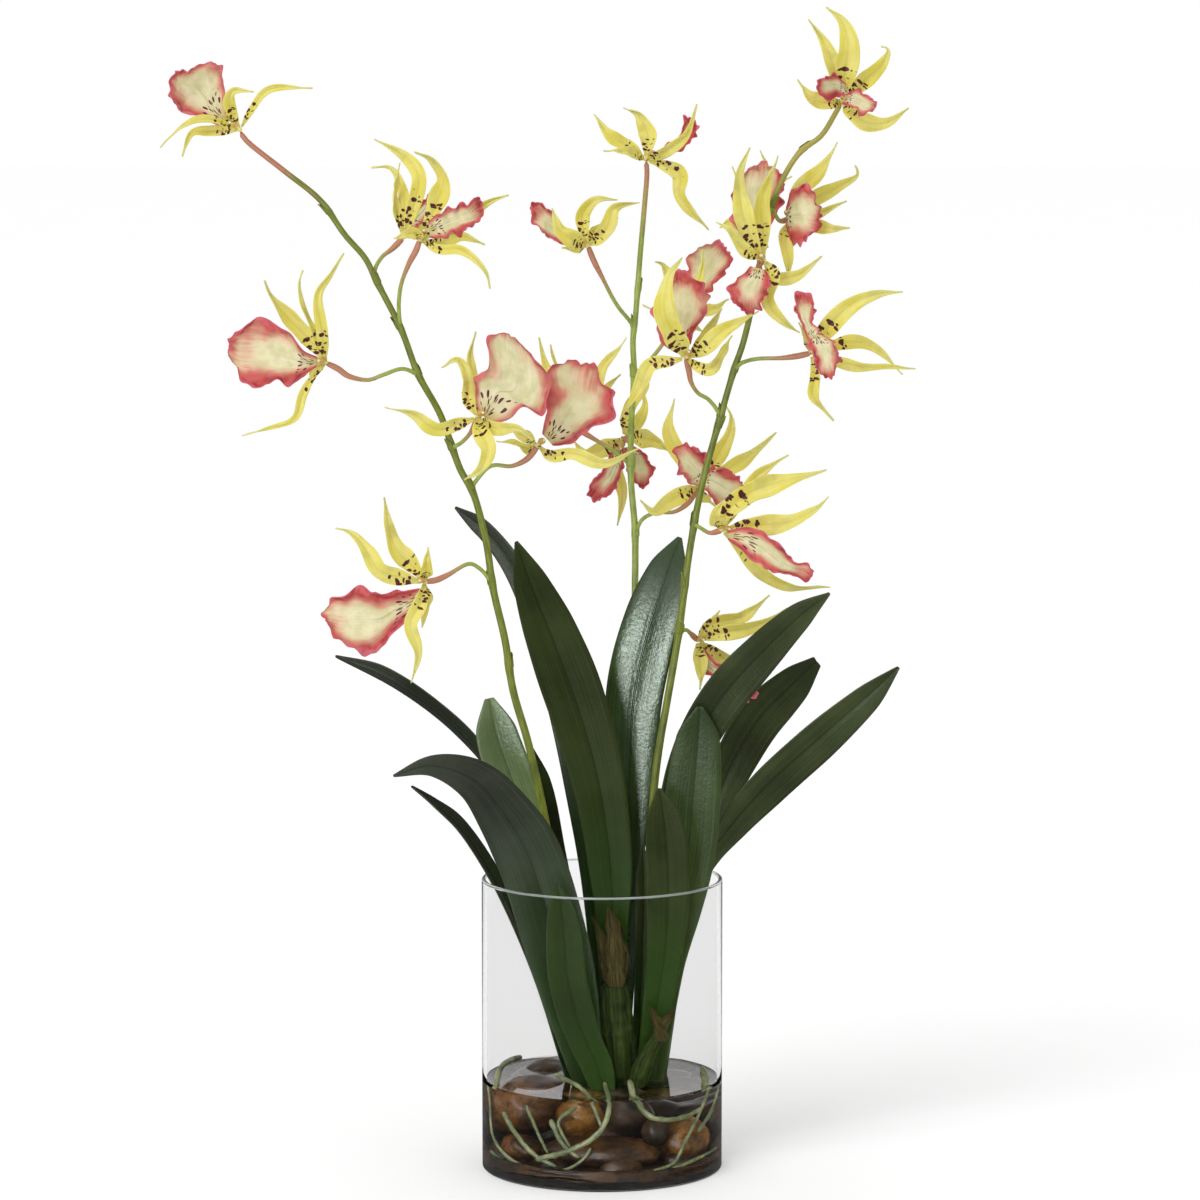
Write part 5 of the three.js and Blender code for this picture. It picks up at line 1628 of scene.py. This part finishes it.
pedicelSkin = stalkPaint("blushingStalk", 0.3, 0.8, 10, True)
for side, stem in stems.items():
    own = [flower for flower in flowers if flower["spike"] == side and "pedicel" in flower]
    joints = [stem.nearest(leaning(side, *flower["pedicel"][0])) for flower in own]
    joints += spikes[side]["nodes"]

    def stemRadius(along, stem=stem, joints=joints):
        radius = stalkShape["foot"] + (stalkShape["top"] - stalkShape["foot"]) * along
        for joint in joints:
            apart = (along - joint) * stem.length / stalkShape["swellingLength"]
            radius += stalkShape["swelling"] * math.exp(-apart * apart)
        return radius * mm * rounded(along, stem.length, 0.003)

    pieces = [tube("stem", stem, stemRadius, **stalkShape["stem"])]
    for number, joint in enumerate(joints):
        pieces.append(bract(stem, joint - bractShape["below"], stemRadius, 2.4 * number))
    skin = stalkPaint("greenStem_" + side, **spikes[side]["paint"])
    dress(together(pieces, "stem_" + side), "spike", ["spike_" + side], skin, angle=70)

    for flower, joint in zip(own, joints):
        heart = leaning(side, *flower["heart"])
        points = [stem.at(joint), *[leaning(side, *point) for point in flower["pedicel"][1:]]]
        while (points[-1] - heart).length < 0.004:
            points.pop()
        line = SmoothLine([*points, heart])

        def pedicelRadius(along, line=line):
            ovary = smooth(along, 0.55, 0.85) * (1 - 0.5 * smooth(along, 0.9, 1))
            foot = 0.5 * (1 - smooth(along, 0, 0.12))
            radius = stalkShape["pedicel"] + foot + (stalkShape["ovary"] - stalkShape["pedicel"]) * ovary
            return radius * mm * rounded(along, line.length, 0.0015)

        piece = tube("stalk_" + flower["name"], line, pedicelRadius, **stalkShape["stalk"])
        dress(piece, "spike", ["spike_" + side], pedicelSkin, angle=80)
print("stems and stalks made")

tepalSkin, lipSkin, columnSkin = tepalPaint(), lipPaint(), columnPaint()

# One column, modelled upright and copied into each flower
columnShape = {
    "points": [[0, 0, -1.5], [0, 0, 3], [0, -0.8, 6.5], [0, -2.6, 9.5]],
    "radius": [0, 2.1, 1.7, 1.55, 1.9, 2.3, 2.0, 0.9, 0],
    "tube": {"sides": 10, "steps": 14, "ribs": 2, "ribDepth": 0.16},
}
columnLine = SmoothLine([Vector(point) * mm for point in columnShape["points"]])
columnWidth = through(columnShape["radius"])


def columnRadius(along):
    return max(0, columnWidth(along)) * mm


columnModel = refine(tube("columnModel", columnLine, columnRadius, **columnShape["tube"]))

for number, flower in enumerate(flowers):
    name = flower["name"]
    heart = leaning(flower["spike"], *flower["heart"])
    tepals = [tepal(flower, half, turn, points) for half, turn, *points in flower["tepals"]]
    piece = thicken(together(tepals, name + "_tepals"), tepalShape["thickness"] * mm)
    dress(piece, "flower", [name], tepalSkin)

    lobes = []
    for turn, (depths, *rows) in enumerate(lips[name]):
        lobes.append(lip(flower, rows, depths, 3.1 * number + turn))
    piece = thicken(together(lobes, name + "_lip"), lipShape["thickness"] * mm)
    dress(piece, "flower", [name], lipSkin)

    across, down, offset = flower["column"]
    end = fromPicture(across, down, heart.y / mm + flowerShape["spread"] * offset)
    aim = (end - heart).to_track_quat("Z", "Y").to_matrix().to_4x4()
    only(columnModel)
    bpy.ops.object.duplicate(linked=False)
    piece = bpy.context.object
    piece.name = name + "_column"
    piece.data.transform(Matrix.Translation(heart) @ aim)
    dress(piece, "flower", [name], columnSkin)
only(columnModel)
bpy.ops.object.delete()
print("flowers made")

# Light. The world is white where it is seen, also through glass, and dimmer where it is mirrored.
lights = {
    "straight": 1.0, "mirrored": 0.12, "soft": 0.88, "sun": 1.0, "sunAngle": 24,
    "key": {"place": (-1.3, -1.6, 1.5), "energy": 2.5, "size": (0.8, 0.8)},
    "panel": {"place": (-0.52, -1.5, 0.36), "energy": 16, "size": (0.34, 0.5)},
}
sky = Paint("studio", "worlds")


def skyLight(strength):
    return sky.node("ShaderNodeBackground", None, {"Color": (1, 1, 1, 1), "Strength": strength})


def aimAt(lamp, target):
    lamp.rotation_euler = (Vector(target) - lamp.location).to_track_quat("-Z", "Y").to_euler()


path = sky.node("ShaderNodeLightPath")
light = sky.cover(path.other("Is Glossy Ray"), skyLight(lights["soft"]), skyLight(lights["mirrored"]))
for way in ("Is Transmission Ray", "Is Camera Ray"):
    light = sky.cover(path.other(way), light, skyLight(lights["straight"]))
bpy.context.scene.world = sky.done(light, "ShaderNodeOutputWorld")

bpy.ops.object.light_add(type="SUN", location=(-1.5, -2, 3))
sun = bpy.context.object
sun.data.energy = lights["sun"]
sun.data.angle = math.radians(lights["sunAngle"])
aimAt(sun, (0, 0, 0.3))
for name in ("key", "panel"):
    bpy.ops.object.light_add(type="AREA", location=lights[name]["place"])
    lamp = bpy.context.object
    lamp.data.shape = "RECTANGLE"
    lamp.data.energy = lights[name]["energy"]
    lamp.data.size, lamp.data.size_y = lights[name]["size"]
    aimAt(lamp, (0, 0, 0.35))
# The panel only gives the leaves their sheen
lamp.visible_diffuse = False
lamp.visible_transmission = False

# Floor and camera
floor = added(bpy.ops.mesh.primitive_plane_add, "pale_floor", size=60, location=(0, 0, -0.0005))
floor.data.materials.append(floorPaint())
floor.visible_glossy = False
bpy.ops.object.camera_add(location=view["place"] * mm, rotation=(math.pi / 2 - view["pitch"], 0, 0))
camera = bpy.context.object
camera.data.sensor_width = 36
camera.data.lens = 36 * view["focal"] / (2 * view["centre"])
camera.data.clip_start = 0.05
camera.data.clip_end = 100
bpy.context.scene.camera = camera
bpy.context.scene.view_settings.view_transform = "Standard"
bpy.context.scene.view_settings.look = "None"
print("light, floor and camera placed")
